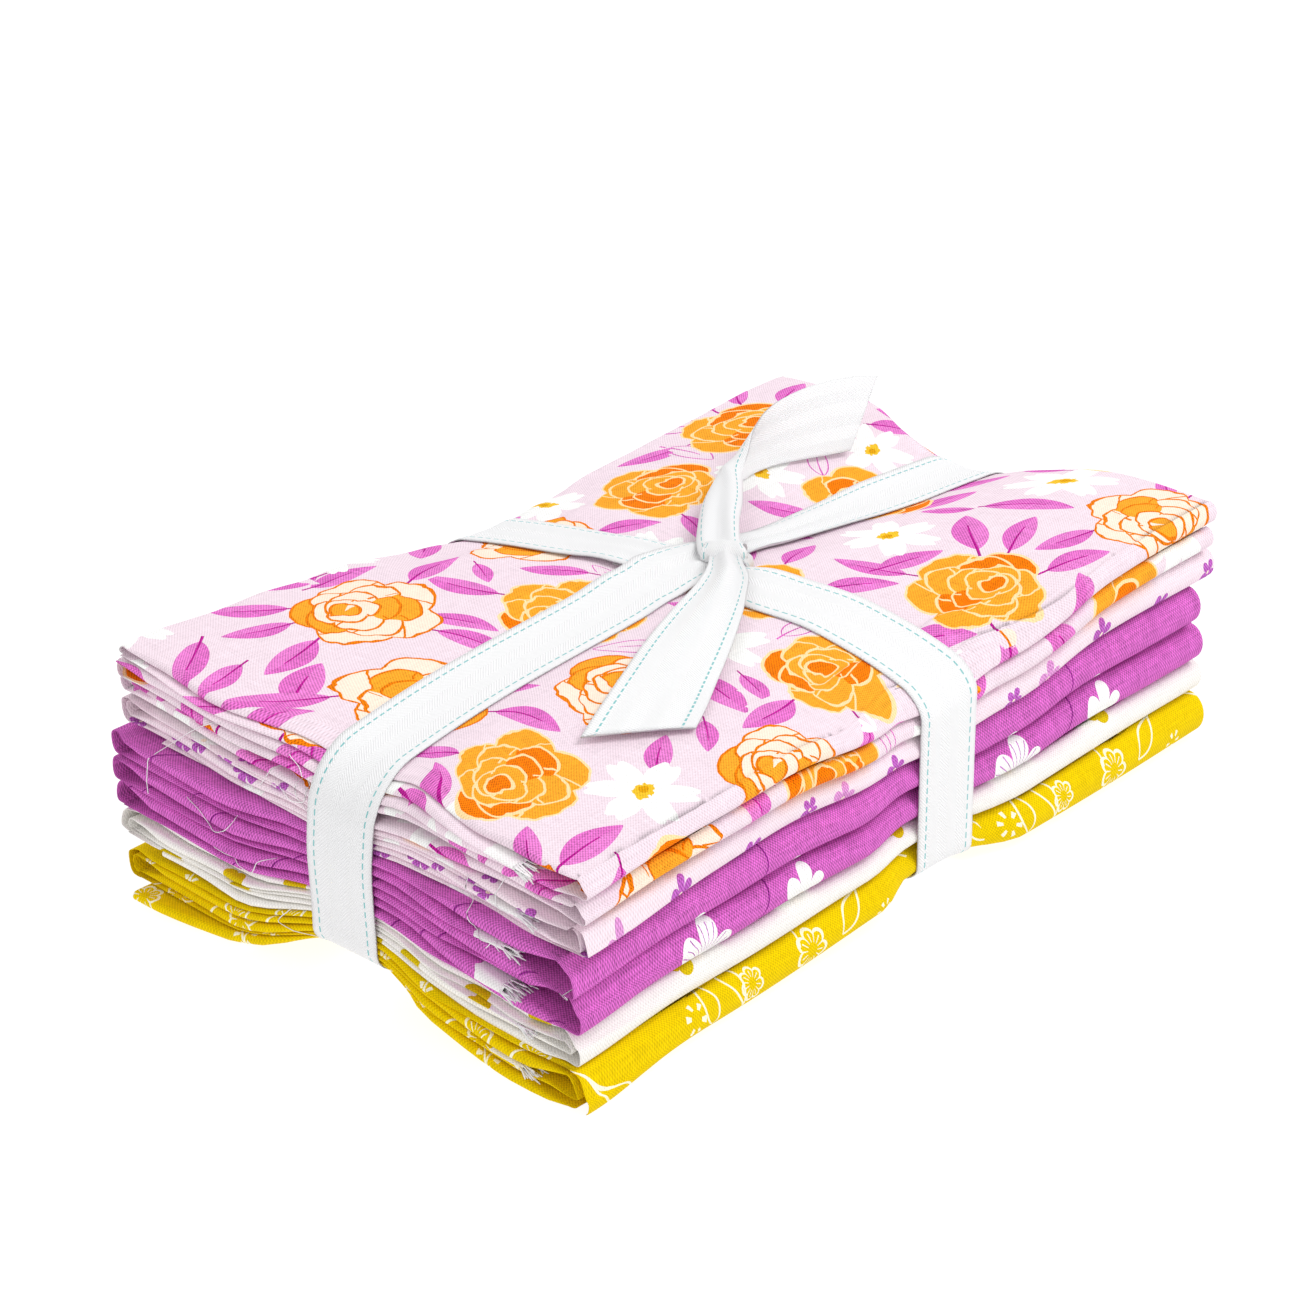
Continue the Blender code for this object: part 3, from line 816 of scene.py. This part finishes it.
def apart(a, b, repeat):
    dx, dy = abs(a[0] - b[0]) % repeat[0], abs(a[1] - b[1]) % repeat[1]
    return math.hypot(min(dx, repeat[0] - dx), min(dy, repeat[1] - dy))


def scatter(seed, repeat, gap, sizes, kinds, clearOf=(), margin=0.0, keepOff=0.0):
    # places that keep a distance from each other on a repeating cloth, and off the fold lines
    rng = np.random.default_rng(seed)
    rows = []
    for _ in range(900):
        spot = (rng.uniform(0.0, repeat[0]), rng.uniform(0.0, repeat[1]))
        clear = min(abs(spot[0] - 2.0), repeat[0] + 2.0 - spot[0]) > keepOff
        clear = clear and all(apart(spot, row, repeat) > gap for row in rows)
        if clear and all(apart(spot, row, repeat) > row[3] + margin for row in clearOf):
            kind = float(rng.choice(kinds))
            rows.append((*spot, rng.uniform(0.0, 6.28), rng.uniform(*sizes), kind))
    return rows


def roseLayout(repeat):
    # roses, then daisies, then fans of leaves on the roses and pairs in the open ground
    rng = np.random.default_rng(27)
    roses = scatter(23, repeat, 51.0, (19.5, 23.5), (0, 1), keepOff=14.0)
    daisies = scatter(24, repeat, 47.0, (13.5, 16.5), (2,), clearOf=roses, margin=12.0)
    layers = ([], [], [])
    spots = []

    def addLeaf(layer, start, turn, length, kind):
        ahead = np.array([math.cos(turn), math.sin(turn)])
        inner, tip = start + ahead * length * 0.45, start + ahead * length * 0.9
        clear = all(apart(p, row, repeat) > row[3] + 1.5 for p in (inner, tip)
                    for row in roses + daisies)
        clear = clear and all(apart(inner, other, repeat) > 10.5 and apart(tip, other, repeat) > 7.0
                              for other in spots)
        if clear:
            spots.extend([inner, tip])
            layers[layer % 3].append((*start, turn, length, kind))

    for bloom in roses:
        lean = rng.uniform(0.0, 6.28)
        for fan in (lean, lean + 2.1, lean + 4.2):
            for k in range(3):
                turn = fan + (k - 1) * 0.56 + rng.uniform(-0.1, 0.1)
                edge = bloom[3] * 1.02
                start = np.array(bloom[:2]) + edge * np.array([math.cos(turn), math.sin(turn)])
                addLeaf(k, start, turn, rng.uniform(20.0, 26.0), 0.0)
    for i in range(500):
        start = np.array([rng.uniform(0.0, repeat[0]), rng.uniform(0.0, repeat[1])])
        turn = rng.uniform(0.0, 6.28)
        kind = 1.0 if i % 4 == 0 else 0.0
        addLeaf(i, start, turn, rng.uniform(20.0, 28.0), kind)
        addLeaf(i + 1, start, turn + 0.95, rng.uniform(15.0, 20.0), kind)
    return roses, daisies, layers


roseRepeat = (279.5, 228.5)
blossomRepeat = (93.2, 91.4)
orchidRepeat = (139.7, 114.3)
mustardRepeat = (139.7, 91.4)
roses, daisies, roseLeaves = roseLayout(roseRepeat)
prints = {
    "rose_cut": {"slot": "rose_cotton", "make": rosePrint, "repeat": roseRepeat,
                 "flower": roses, "daisy": daisies, "leaf": roseLeaves[0],
                 "leaf2": roseLeaves[1], "leaf3": roseLeaves[2]},
    "blossom_cut": {"slot": "blossom_cotton", "make": blossomPrint, "repeat": blossomRepeat,
                    "flower": scatter(31, blossomRepeat, 13.5, (3.2, 5.2), (0, 0, 1, 1, 2))},
    "orchid_cut": {"slot": "orchid_cotton", "make": orchidPrint, "repeat": orchidRepeat,
                   "flower": scatter(32, orchidRepeat, 36.0, (7.0, 12.0), (0, 0, 1),
                                     keepOff=16.0),
                   "leaf": scatter(33, orchidRepeat, 36.0, (20.0, 30.0), (0,))},
    "cream_cut": {"slot": "cream_cotton", "make": creamPrint, "repeat": blossomRepeat,
                  "flower": scatter(34, blossomRepeat, 38.0, (3.5, 4.5), (0,))},
    "mustard_cut": {"slot": "mustard_cotton", "make": mustardPrint, "repeat": mustardRepeat,
                    "flower": scatter(35, mustardRepeat, 22.0, (4.0, 6.0), (0, 0, 1)),
                    "leaf": scatter(36, mustardRepeat, 21.0, (13.0, 18.0), (0,))},
}
print("rose print", len(roses), "roses", len(daisies), "daisies", [len(r) for r in roseLeaves])

# the cloth, from the bottom cut up
base = 0.0
clothPieces = {}
for cut in cuts:
    piece = placeCut(cut, base)
    base += cut["height"] + stack["cutGap"]
    look = prints[cut["name"]]
    for layer in ("flower", "daisy", "leaf", "leaf2", "leaf3"):
        if layer in look:
            layMotifs(piece, layer, look[layer], look["repeat"], layer.startswith("leaf"))
    finish = clothMaterial(look["slot"], look["make"], float(cut["clothSize"][1]),
                           cut["fold"] == doubleRoll)
    dress(piece, finish, cut["name"])
    clothPieces[cut["name"]] = piece
print("cloth laid and printed")


# twill tape

tape = {
    "halfWidth": 12.25,
    "thick": 0.7,
    "gap": 0.3,
    "lap": 1.5,
    "rise": 2.2,
    "stitchIn": 3.0,
    "dash": 2.9,
    "pleat": 1.5,
    "plainSide": 96.0,
    "band": 4.0,
    "rib": 1.05,
    "thread": 0.45,
    "bump": 0.8,
    "depth": 0.14,
    "finish": {"Roughness": 0.8, "Sheen Weight": 0.05, "Specular IOR Level": 0.15},
}


def tapeMaterial():
    material, tree, shader = newMaterial("twill_tape", tape["finish"])
    along, across = flatPlace(tree)
    # herringbone twill: the slant of the ribs changes from band to band
    bands = calc("PINGPONG", across, tape["band"])
    ribs = calc("SINE", (along + bands * 1.1) * (2.0 * math.pi / tape["rib"]))
    threads = calc("SINE", across * (2.0 * math.pi / tape["thread"]))
    fuzz = noise(along * 1.4, across * 1.4, 0.0, 1.0, 2.0)
    stitch = below(absolute(absolute(across) - (tape["halfWidth"] - tape["stitchIn"])), 0.26)
    dash = below(calc("FRACT", along / tape["dash"]), 0.62)
    colour = blendColour(both(stitch, dash) * 0.85, ink["tape"], ink["teal"])
    # the ribs paint shade in the grooves of the twill and highlight on its ribs; the fuzz varies
    # the tone and is lighter where it stands up, a painted highlight too
    tone = ribs * 0.034 + fuzz * 0.03 + 0.970
    shadeAndRaiseThreads(shader, colour, tone, ribs * 0.6 + threads * 0.15 + fuzz * 0.5, tape)
    return material


twill = tapeMaterial()


def dressTape(piece, node, length):
    dress(piece, twill, node)
    print(piece.name, "length", round(length, 3))


def closeUp(piece, openEnds=False):
    # welds the seam of a band, or fills the open ends of a strip
    bpy.context.view_layer.objects.active = piece
    piece.select_set(True)
    bpy.ops.object.mode_set(mode="EDIT")
    if openEnds:
        bpy.ops.mesh.select_mode(type="EDGE")
        bpy.ops.mesh.select_all(action="DESELECT")
        bpy.ops.mesh.select_non_manifold()
        bpy.ops.mesh.fill_holes(sides=0)
        bpy.ops.mesh.select_all(action="SELECT")
    else:
        bpy.ops.mesh.select_all(action="SELECT")
        bpy.ops.mesh.remove_doubles(threshold=0.00001)
    bpy.ops.mesh.normals_make_consistent(inside=False)
    bpy.ops.object.mode_set(mode="OBJECT")
    piece.select_set(False)


def stackOutline(halfSize, radii):
    # once round the stack under the tape, from the middle of the bottom
    arcs = np.radians(np.arange(0.0, 91.0, 10.0))
    low, high = radii
    points = [(s, 0.0, 0.0, -1.0) for s in np.arange(0.0, halfSize - low, 2.2)]
    points += [(halfSize - low + low * math.sin(a), low - low * math.cos(a),
                math.sin(a), -math.cos(a)) for a in arcs]
    points += [(halfSize, w, 1.0, 0.0) for w in np.arange(low + 2.0, stackHeight - high, 2.6)]
    points += [(halfSize - high + high * math.cos(a), stackHeight - high + high * math.sin(a),
                math.cos(a), math.sin(a)) for a in arcs]
    points += [(s, stackHeight, 0.0, 1.0) for s in np.arange(0.0, halfSize - high, 2.2)[::-1]]
    other = [(-s, w, -ns, nw) for s, w, ns, nw in points[:0:-1]]
    return np.array(points + other[1:] + points[:1])


def unit(v):
    return v / np.linalg.norm(v, axis=-1, keepdims=True)


def highestUnder(point, trees):
    best = -1.0
    for tree in trees:
        hit = tree.ray_cast(Vector((point[0] * mm, point[1] * mm, 0.2)), Vector((0.0, 0.0, -1.0)))
        if hit[0]:
            best = max(best, hit[0].z / mm)
    return best


def surfaceOf(piece):
    mesh = piece.data
    places = [v.co for v in mesh.vertices]
    return BVHTree.FromPolygons(places, [p.vertices[:] for p in mesh.polygons])


def outermost(points, normals, trees, reach=25.0):
    # how far the cloth stands out of each point along its normal, in millimetres
    heights = np.full(points.shape[:2], -1.0)
    for i, j in np.ndindex(heights.shape):
        away = Vector(normals[i, j])
        start = Vector(points[i, j]) + away * (reach * mm)
        for tree in trees:
            hit = tree.ray_cast(start, -away, 2.0 * reach * mm)
            if hit[0]:
                heights[i, j] = max(heights[i, j], reach - hit[3] / mm)
    return heights


def tauten(need, steps):
    # a taut strip bridges the hollows between the places that hold it out
    line = need.copy()
    for _ in range(steps):
        eased = (np.roll(line, 1, axis=0) + np.roll(line, -1, axis=0)) / 2.0
        line = np.maximum(need, eased)
    return (np.roll(line, 1, axis=0) + line + np.roll(line, -1, axis=0)) / 3.0


def makeBand(name, halfSize, radii, crosswise, trees, shares):
    knotAt = tapeLines["crossing"][1 if crosswise else 0]
    outline = stackOutline(halfSize, radii)
    s, w, ns, nw = outline.T[:, :, None]
    c = np.linspace(-tape["halfWidth"], tape["halfWidth"], 15)[None, :]
    onTop = smooth((nw - 0.5) / 0.5)
    away = s - knotAt
    narrow = mix(1.0, np.interp(away, *shares), onTop)
    gather = (1.0 - narrow) * 2.0
    sideways = lineAt("crosswise" if crosswise else "lengthwise", s) + c * narrow

    def place(offset):
        a = s + ns * offset
        b = w + nw * offset
        return settle(sideways, a, b) if crosswise else settle(a, sideways, b)

    ground = place(0.0 * sideways)
    normals = unit(place(1.0 + 0.0 * sideways) - ground)
    need = outermost(ground, normals, trees)
    need = mix(need, need.max(axis=1, keepdims=True), 0.4) + tape["gap"]
    need = tauten(need, 14)
    need[-1] = need[0]                   # the band meets itself under the stack
    # pleats, a rise and the upper band's lap where the knot draws the tape together
    phase = 0.6 if crosswise else 2.2
    pleat = gather * tape["pleat"] * (0.5 + 0.5 * np.cos(c * 2.0 * np.pi / 9.5 + phase))
    lift = onTop * tape["rise"] * np.exp(-(away / 24.0) ** 2)
    if crosswise:
        lift = lift * mix(0.3, 0.8, smooth(0.5 + away / 20.0))
    else:
        tilt = smooth(0.5 + 0.5 * c / tape["halfWidth"])
        lap = tape["lap"] * mix(0.75, 1.0, tilt) * (1.0 - smooth((np.abs(away) - 8.0) / 10.0))
        lift = lift * mix(0.1, 1.1, tilt) + onTop * lap
    edge = (np.abs(c) / tape["halfWidth"]) ** 8
    inner = need + pleat + lift
    outer = inner + tape["thick"] * (1.0 - 0.5 * edge)
    points = np.concatenate([place(outer), place(inner)[:, ::-1]], axis=1)
    travelled = runningLength(points[:, 7])
    across = np.concatenate([c, c[:, ::-1] + tape["plainSide"]], axis=1)
    uv = np.stack(np.broadcast_arrays(travelled[:, None] / mm, across), axis=-1)
    piece = meshFromGrid(name, points, uv, closed=True)
    closeUp(piece)
    return piece, float(travelled[-1])


cloths = [surfaceOf(piece) for piece in clothPieces.values()]
# how much of its width the tape keeps on its way to the knot
lengthwiseShares = ((-37.0, -20.0, -9.0, 0.0, 10.0, 26.0, 35.0, 55.0, 71.0, 82.0),
                    (1.0, 1.0, 0.96, 0.80, 0.56, 0.52, 0.58, 0.74, 0.91, 1.0))
crosswiseShares = ((-30.0, -20.0, -9.0, 0.0, 8.0, 25.0, 44.0, 62.0, 82.0),
                   (1.0, 0.96, 0.72, 0.62, 0.80, 0.80, 0.88, 0.92, 1.0))
lengthBand, length = makeBand("lengthwise_tape", stack["drawnEnd"], stack["endRound"], False,
                              cloths, lengthwiseShares)
dressTape(lengthBand, "tape_lengthwise", length)
crossBand, length = makeBand("crosswise_tape", stack["drawnSide"], stack["sideRound"], True,
                             cloths, crosswiseShares)
dressTape(crossBand, "tape_crosswise", length)

# free ends: at each station the two edges of the tape, how far its middle bulges out of the line
# between them, and how deep it is creased; printed is the side with the stitch lines
frontTail = {
    "stations": (((14.5, 6.6, 73.6), (20.5, 0.2, 73.8), 0.6, 1.0),
                 ((8.9, 2.0, 75.2), (14.0, -6.4, 75.4), 0.8, 0.9),
                 ((2.4, -2.6, 75.6), (7.2, -14.6, 75.6), 0.6, 1.2),
                 ((-7.5, -7.2, 75.4), (-1.9, -21.6, 75.2), 0.5, 0.9),
                 ((-21.0, -11.3, 74.3), (-11.0, -28.0, 74.3), 0.5, 0.5),
                 ((-38.4, -17.4, 73.2), (-27.5, -38.3, 73.2), 0.5, 0.2),
                 ((-57.4, -26.0, 72.7), (-46.0, -49.2, 72.7), 0.5, 0.0),
                 ((-77.1, -35.3, 72.4), (-57.4, -55.9, 72.4), 0.5, 0.0),
                 ((-92.3, -42.9, 72.2), (-68.1, -61.6, 72.2), 0.5, 0.0)),
    "printed": 1.0,
    "creases": 1.5,
}
backTail = {
    "stations": (((10.5, 7.0, 74.0), (19.5, -1.0, 74.4), -0.4, 0.9),
                 ((15.2, 12.2, 75.2), (25.2, 4.6, 76.0), -0.9, 1.1),
                 ((23.4, 18.8, 76.2), (31.6, 10.2, 77.4), -2.4, 1.1),
                 ((33.9, 26.7, 76.0), (40.6, 16.9, 77.6), -3.7, 0.8),
                 ((42.2, 31.2, 75.0), (47.9, 23.1, 77.8), -4.6, 0.6),
                 ((50.0, 33.8, 74.0), (53.6, 28.1, 78.7), -5.2, 0.3),
                 ((56.3, 34.5, 73.4), (58.6, 31.5, 80.6), -4.8, 0.0),
                 ((62.5, 35.1, 73.1), (63.6, 34.3, 83.0), -4.2, 0.0),
                 ((69.1, 36.3, 72.9), (72.1, 39.6, 85.2), -3.2, 0.0),
                 ((77.7, 35.5, 72.9), (83.3, 43.9, 87.2), -1.8, 0.0),
                 ((85.6, 32.6, 72.9), (95.7, 44.6, 88.5), -0.8, 0.0),
                 ((92.8, 29.5, 72.9), (108.5, 43.2, 88.7), -0.3, 0.0),
                 ((98.6, 27.1, 72.9), (119.4, 39.4, 88.5), 0.0, 0.0),
                 ((102.0, 26.1, 73.0), (125.0, 34.8, 88.0), 0.0, 0.0)),
    "printed": -1.0,
    "creases": 1.5,
}


def makeTail(name, shape, trees):
    left = throughPoints([row[0] for row in shape["stations"]], 6)
    right = throughPoints([row[1] for row in shape["stations"]], 6)
    bulge, crease = throughPoints([row[2:] for row in shape["stations"]], 6).T
    middle = (left + right) / 2
    across = right - left
    face = unit(np.cross(np.gradient(middle, axis=0), across))
    travelled = runningLength(middle)
    c = np.linspace(-1.0, 1.0, 25)
    lift = bulge[:, None] * (1.0 - c * c) + crease[:, None] * np.cos(c * np.pi * shape["creases"])
    sheet = middle[:, None, :] + across[:, None, :] * (c[None, :, None] / 2)
    sheet = sheet + face[:, None, :] * lift[..., None]
    for row in sheet:                      # it lies on what is under it
        for point in row:
            point[2] = max(point[2], highestUnder(point, trees) + tape["thick"])
    out = unit(np.cross(np.gradient(sheet, axis=0), np.gradient(sheet, axis=1)))
    half = tape["thick"] / 2 * (1.0 - 0.5 * np.abs(c) ** 8)[None, :, None] * shape["printed"]
    points = np.concatenate([sheet + out * half, (sheet - out * half)[:, ::-1]], axis=1)
    wide = c * tape["halfWidth"]
    wide = np.concatenate([wide, wide + tape["plainSide"]])    # only one side is printed
    uv = np.stack(np.broadcast_arrays(travelled[:, None], wide[None, :]), axis=-1)
    piece = meshFromGrid(name, points * mm, uv, closed=True)
    closeUp(piece, openEnds=True)
    return piece, float(travelled[-1] * mm)


under = [surfaceOf(clothPieces["rose_cut"]), surfaceOf(lengthBand), surfaceOf(crossBand)]
for name, shape in (("front_tail", frontTail), ("back_tail", backTail)):
    piece, length = makeTail(name, shape, under)
    dressTape(piece, "tape_tail_" + name.split("_")[0], length)

# the knot: short turns of gathered tape, flattened over the ends
knotTurns = (
    {"centre": (17.0, 3.4), "above": 1.7, "way": -2.40, "reach": 2.9, "height": 2.9,
     "half": 6.9, "thick": 0.5, "creases": 3, "from": -120.0, "to": 105.0},
    {"centre": (19.2, -0.6), "above": 1.1, "way": -1.05, "reach": 3.1, "height": 2.4,
     "half": 3.4, "thick": 0.5, "creases": 2, "from": -110.0, "to": 115.0},
)


def makeTurn(name, turn):
    angles = np.radians(np.linspace(turn["from"], turn["to"], 40))[:, None]
    around = np.linspace(0.0, 2.0 * np.pi, 28, endpoint=False)[None, :]
    ahead = np.array([math.cos(turn["way"]), math.sin(turn["way"]), 0.0])
    beside = np.array([-ahead[1], ahead[0], 0.0])
    up = np.array([0.0, 0.0, 1.0])
    c, s = np.cos(around), np.sin(around)
    crease = 0.28 * np.cos(c * np.pi * turn["creases"]) * np.sign(s) * np.abs(s) ** 0.5
    out = s * turn["thick"] + crease + 0.6 * (1.0 - c * c)
    narrow = 1.0 - 0.2 * np.cos(angles) ** 4
    radial = ahead * np.sin(angles)[..., None] + up * np.cos(angles)[..., None]
    path = (ahead * (turn["reach"] * np.sin(angles))[..., None]
            + up * (turn["height"] * np.cos(angles))[..., None])
    ground = highestUnder(turn["centre"], under)
    points = np.array((*turn["centre"], ground + turn["above"])) + path + radial * out[..., None]
    points = points + beside * (c * turn["half"] * narrow)[..., None]
    uv = np.stack(np.broadcast_arrays(angles * turn["reach"], c * tape["halfWidth"] * 0.9), axis=-1)
    piece = meshFromGrid(name, points * mm, uv, closed=True)
    closeUp(piece, openEnds=True)
    return piece


for i, turn in enumerate(knotTurns):
    piece = makeTurn("knot_turn_%d" % (i + 1), turn)
    dress(piece, twill, "tape_knot" if i == 0 else None)
print("tape, tails and knot made")

# frayed tufts at the raw ends by the front left corner, one on the right end, loose threads
strands = {
    "radius": 0.15,
    "tuftRadius": 0.30,
    "perTuft": 33,
    "perRightTuft": 14,
    "length": (3.0, 6.0),
    "reach": 9.0,
    "spread": 0.10,
    "curl": 0.35,
    "threads": (                         # y and z of points on the left end, in millimetres
        ("rose_cut", ((71.9, 33.1), (69.2, 46.0), (58.0, 56.5), (49.2, 62.6), (42.9, 65.2))),
        ("rose_cut", ((29.9, 50.8), (25.0, 57.2), (18.3, 57.4), (16.0, 52.0), (12.2, 48.4))),
        ("rose_cut", ((21.0, 62.0), (15.0, 58.0), (13.0, 52.0), (19.0, 50.0), (23.0, 54.0))),
        ("orchid_cut", ((55.5, 39.5), (49.4, 37.3), (44.8, 33.0), (39.4, 35.7), (36.0, 41.0))),
        ("orchid_cut", ((46.0, 27.5), (38.0, 26.0), (32.0, 24.5), (29.5, 28.5), (24.0, 31.0))),
        ("mustard_cut", ((19.0, 17.5), (22.5, 12.5), (14.0, 10.0), (6.0, 9.5))),
        ("blossom_cut", ((-48.5, 53.4), (-50.4, 46.6), (-53.3, 40.7), (-58.0, 38.5))),
        ("blossom_cut", ((-60.9, 57.8), (-59.2, 51.7), (-63.0, 48.0), (-67.5, 49.2))),
        ("orchid_cut", ((-57.0, 36.4), (-60.6, 39.8), (-62.0, 37.2))),
        ("orchid_cut", ((-78.0, 31.2), (-82.3, 30.0), (-84.0, 34.6))),
    ),
}


def makeStrands(name, lines):
    # thin closed threads, three-sided, all in one piece
    places, faces = [], []
    for line, radius in lines:
        line = np.array(line)
        along = unit(np.gradient(line, axis=0))
        beside = unit(np.cross(along, (0.31, 0.17, 0.94)))
        other = np.cross(along, beside)
        first = len(places)
        thin = radius * np.minimum(1.0, np.linspace(3.0, 0.5, len(line)))
        for p, b, o, r in zip(line, beside, other, thin):
            for a in 2.0 * math.pi / 3.0 * np.arange(3):
                places.append(p + r * (b * math.cos(a) + o * math.sin(a)))
        last = len(places) - 3
        for i in range(first, last, 3):
            for a, b in ((i, i + 1), (i + 1, i + 2), (i + 2, i)):
                faces.append((a, b, b + 3, a + 3))
        faces.append((first + 2, first + 1, first))
        faces.append((last, last + 1, last + 2))
    return addPiece(name, [tuple(p * mm) for p in places], faces)


def tuft(rng, ends, heading, count):
    # threads that stand out of a raw edge, which is given as a row of places
    lines = []
    for _ in range(count):
        start = ends[rng.integers(len(ends))] - 0.9 * heading
        way = heading + rng.normal(0.0, strands["spread"], 3)
        way = way / np.linalg.norm(way)
        curl = rng.normal(0.0, strands["curl"], 3)
        t = np.linspace(0.0, 1.0, 6)[:, None]
        length = rng.uniform(*strands["length"]) + 0.9
        lines.append((start + way * (t * length) + curl * (t * t), strands["tuftRadius"]))
    return lines


def layThread(points):
    # a loose thread on the left end of the stack
    route = throughPoints(points, 7)
    places = []
    for y, z in route:
        hits = [tree.ray_cast(Vector((-0.2, y * mm, z * mm)), Vector((1.0, 0.0, 0.0)), 0.08)
                for tree in cloths]
        met = [hit[0].x / mm for hit in hits if hit[0]]
        places.append(min(met) - 0.25 if met else np.nan)
    places = np.array(places)
    seen = np.flatnonzero(~np.isnan(places))
    places = np.interp(np.arange(len(places)), seen, places[seen])
    for _ in range(4):
        eased = places.copy()
        eased[1:-1] = (places[:-2] + places[2:]) / 2.0
        places = np.minimum(places, eased)
    return np.column_stack([places, route]), strands["radius"]


threadFinish = {"Base Color": linear("#FBFAFA"), "Roughness": 0.9, "Specular IOR Level": 0.1}
white, _, _ = newMaterial("white_thread", threadFinish)
rng = np.random.default_rng(61)
strandCount = 0
for cut in cuts:
    lines = []
    for ends in cut["rawEnds"]:
        ends = ends / mm
        if ends[:, 1].mean() > -40.0:
            continue                     # hidden inside or at the back
        left = ends[ends[:, 0] < ends[:, 0].min() + strands["reach"]]
        lines += tuft(rng, left, np.array([-0.15, -1.0, -0.1]), strands["perTuft"])
        if cut["name"] == "orchid_cut":
            right = ends[ends[:, 0] > ends[:, 0].max() - 3.0]
            heading = np.array([0.9, -0.3, -0.3])
            lines += tuft(rng, right, heading, strands["perRightTuft"])
    lines += [layThread(row) for name, row in strands["threads"] if name == cut["name"]]
    strandCount += len(lines)
    loose = makeStrands(cut["name"].replace("_cut", "_frays"), lines)
    dress(loose, white)
    length = float(cut["clothSize"][1] * mm)
print("frays and threads laid", strandCount)

# studio

studio = {
    "target": (0.0224, 0.0369, 0.030),
    "azimuth": -47.72,
    "elevation": 26.0,
    "distance": 1.1107,
    "lens": 102.9,
    "sensor": 36.0,
    "around": 0.667,                     # strength of the even light from all sides
    "paper": {"Base Color": (0.25, 0.25, 0.25, 1.0), "Roughness": 1.0, "Specular IOR Level": 0.0,
              "Emission Color": (1.0, 1.0, 1.0, 1.0), "Emission Strength": 0.87},
    "lights": {"key": ((0.6, -0.9, 1.6), 17.0, 1.0), "fill": ((-1.4, -0.3, 0.9), 3.5, 1.2),
               "back": ((0.3, 1.4, 1.3), 4.3, 1.0)},
}
bpy.ops.mesh.primitive_plane_add(size=8.0, location=(0.0, 0.0, 0.0))
floor = bpy.context.object
floor.name = "floor"
paper, _, _ = newMaterial("paper", studio["paper"])
floor.data.materials.append(paper)

scene = bpy.context.scene
scene.view_settings.view_transform = "Standard"
scene.view_settings.look = "None"
world = bpy.data.worlds.new("studio")
scene.world = world
world.use_nodes = True
setInputs(world.node_tree.nodes["Background"], (0, 1), ((1.0, 1.0, 1.0, 1.0), studio["around"]))

for name, (place, power, width) in studio["lights"].items():
    bpy.ops.object.light_add(type="AREA", location=place)
    light = bpy.context.object
    light.name = name
    light.data.energy = power
    light.data.size = width
    aim = Vector((0.0, 0.0, 0.03)) - Vector(place)
    light.rotation_euler = aim.to_track_quat("-Z", "Y").to_euler()

azimuth = math.radians(studio["azimuth"])
elevation = math.radians(studio["elevation"])
back = Vector((math.sin(azimuth) * math.cos(elevation), -math.cos(azimuth) * math.cos(elevation),
               math.sin(elevation)))
bpy.ops.object.camera_add(location=Vector(studio["target"]) + back * studio["distance"])
camera = bpy.context.object
camera.data.lens = studio["lens"]
camera.data.sensor_width = studio["sensor"]
camera.rotation_euler = (-back).to_track_quat("-Z", "Y").to_euler()
scene.camera = camera
print("studio ready")
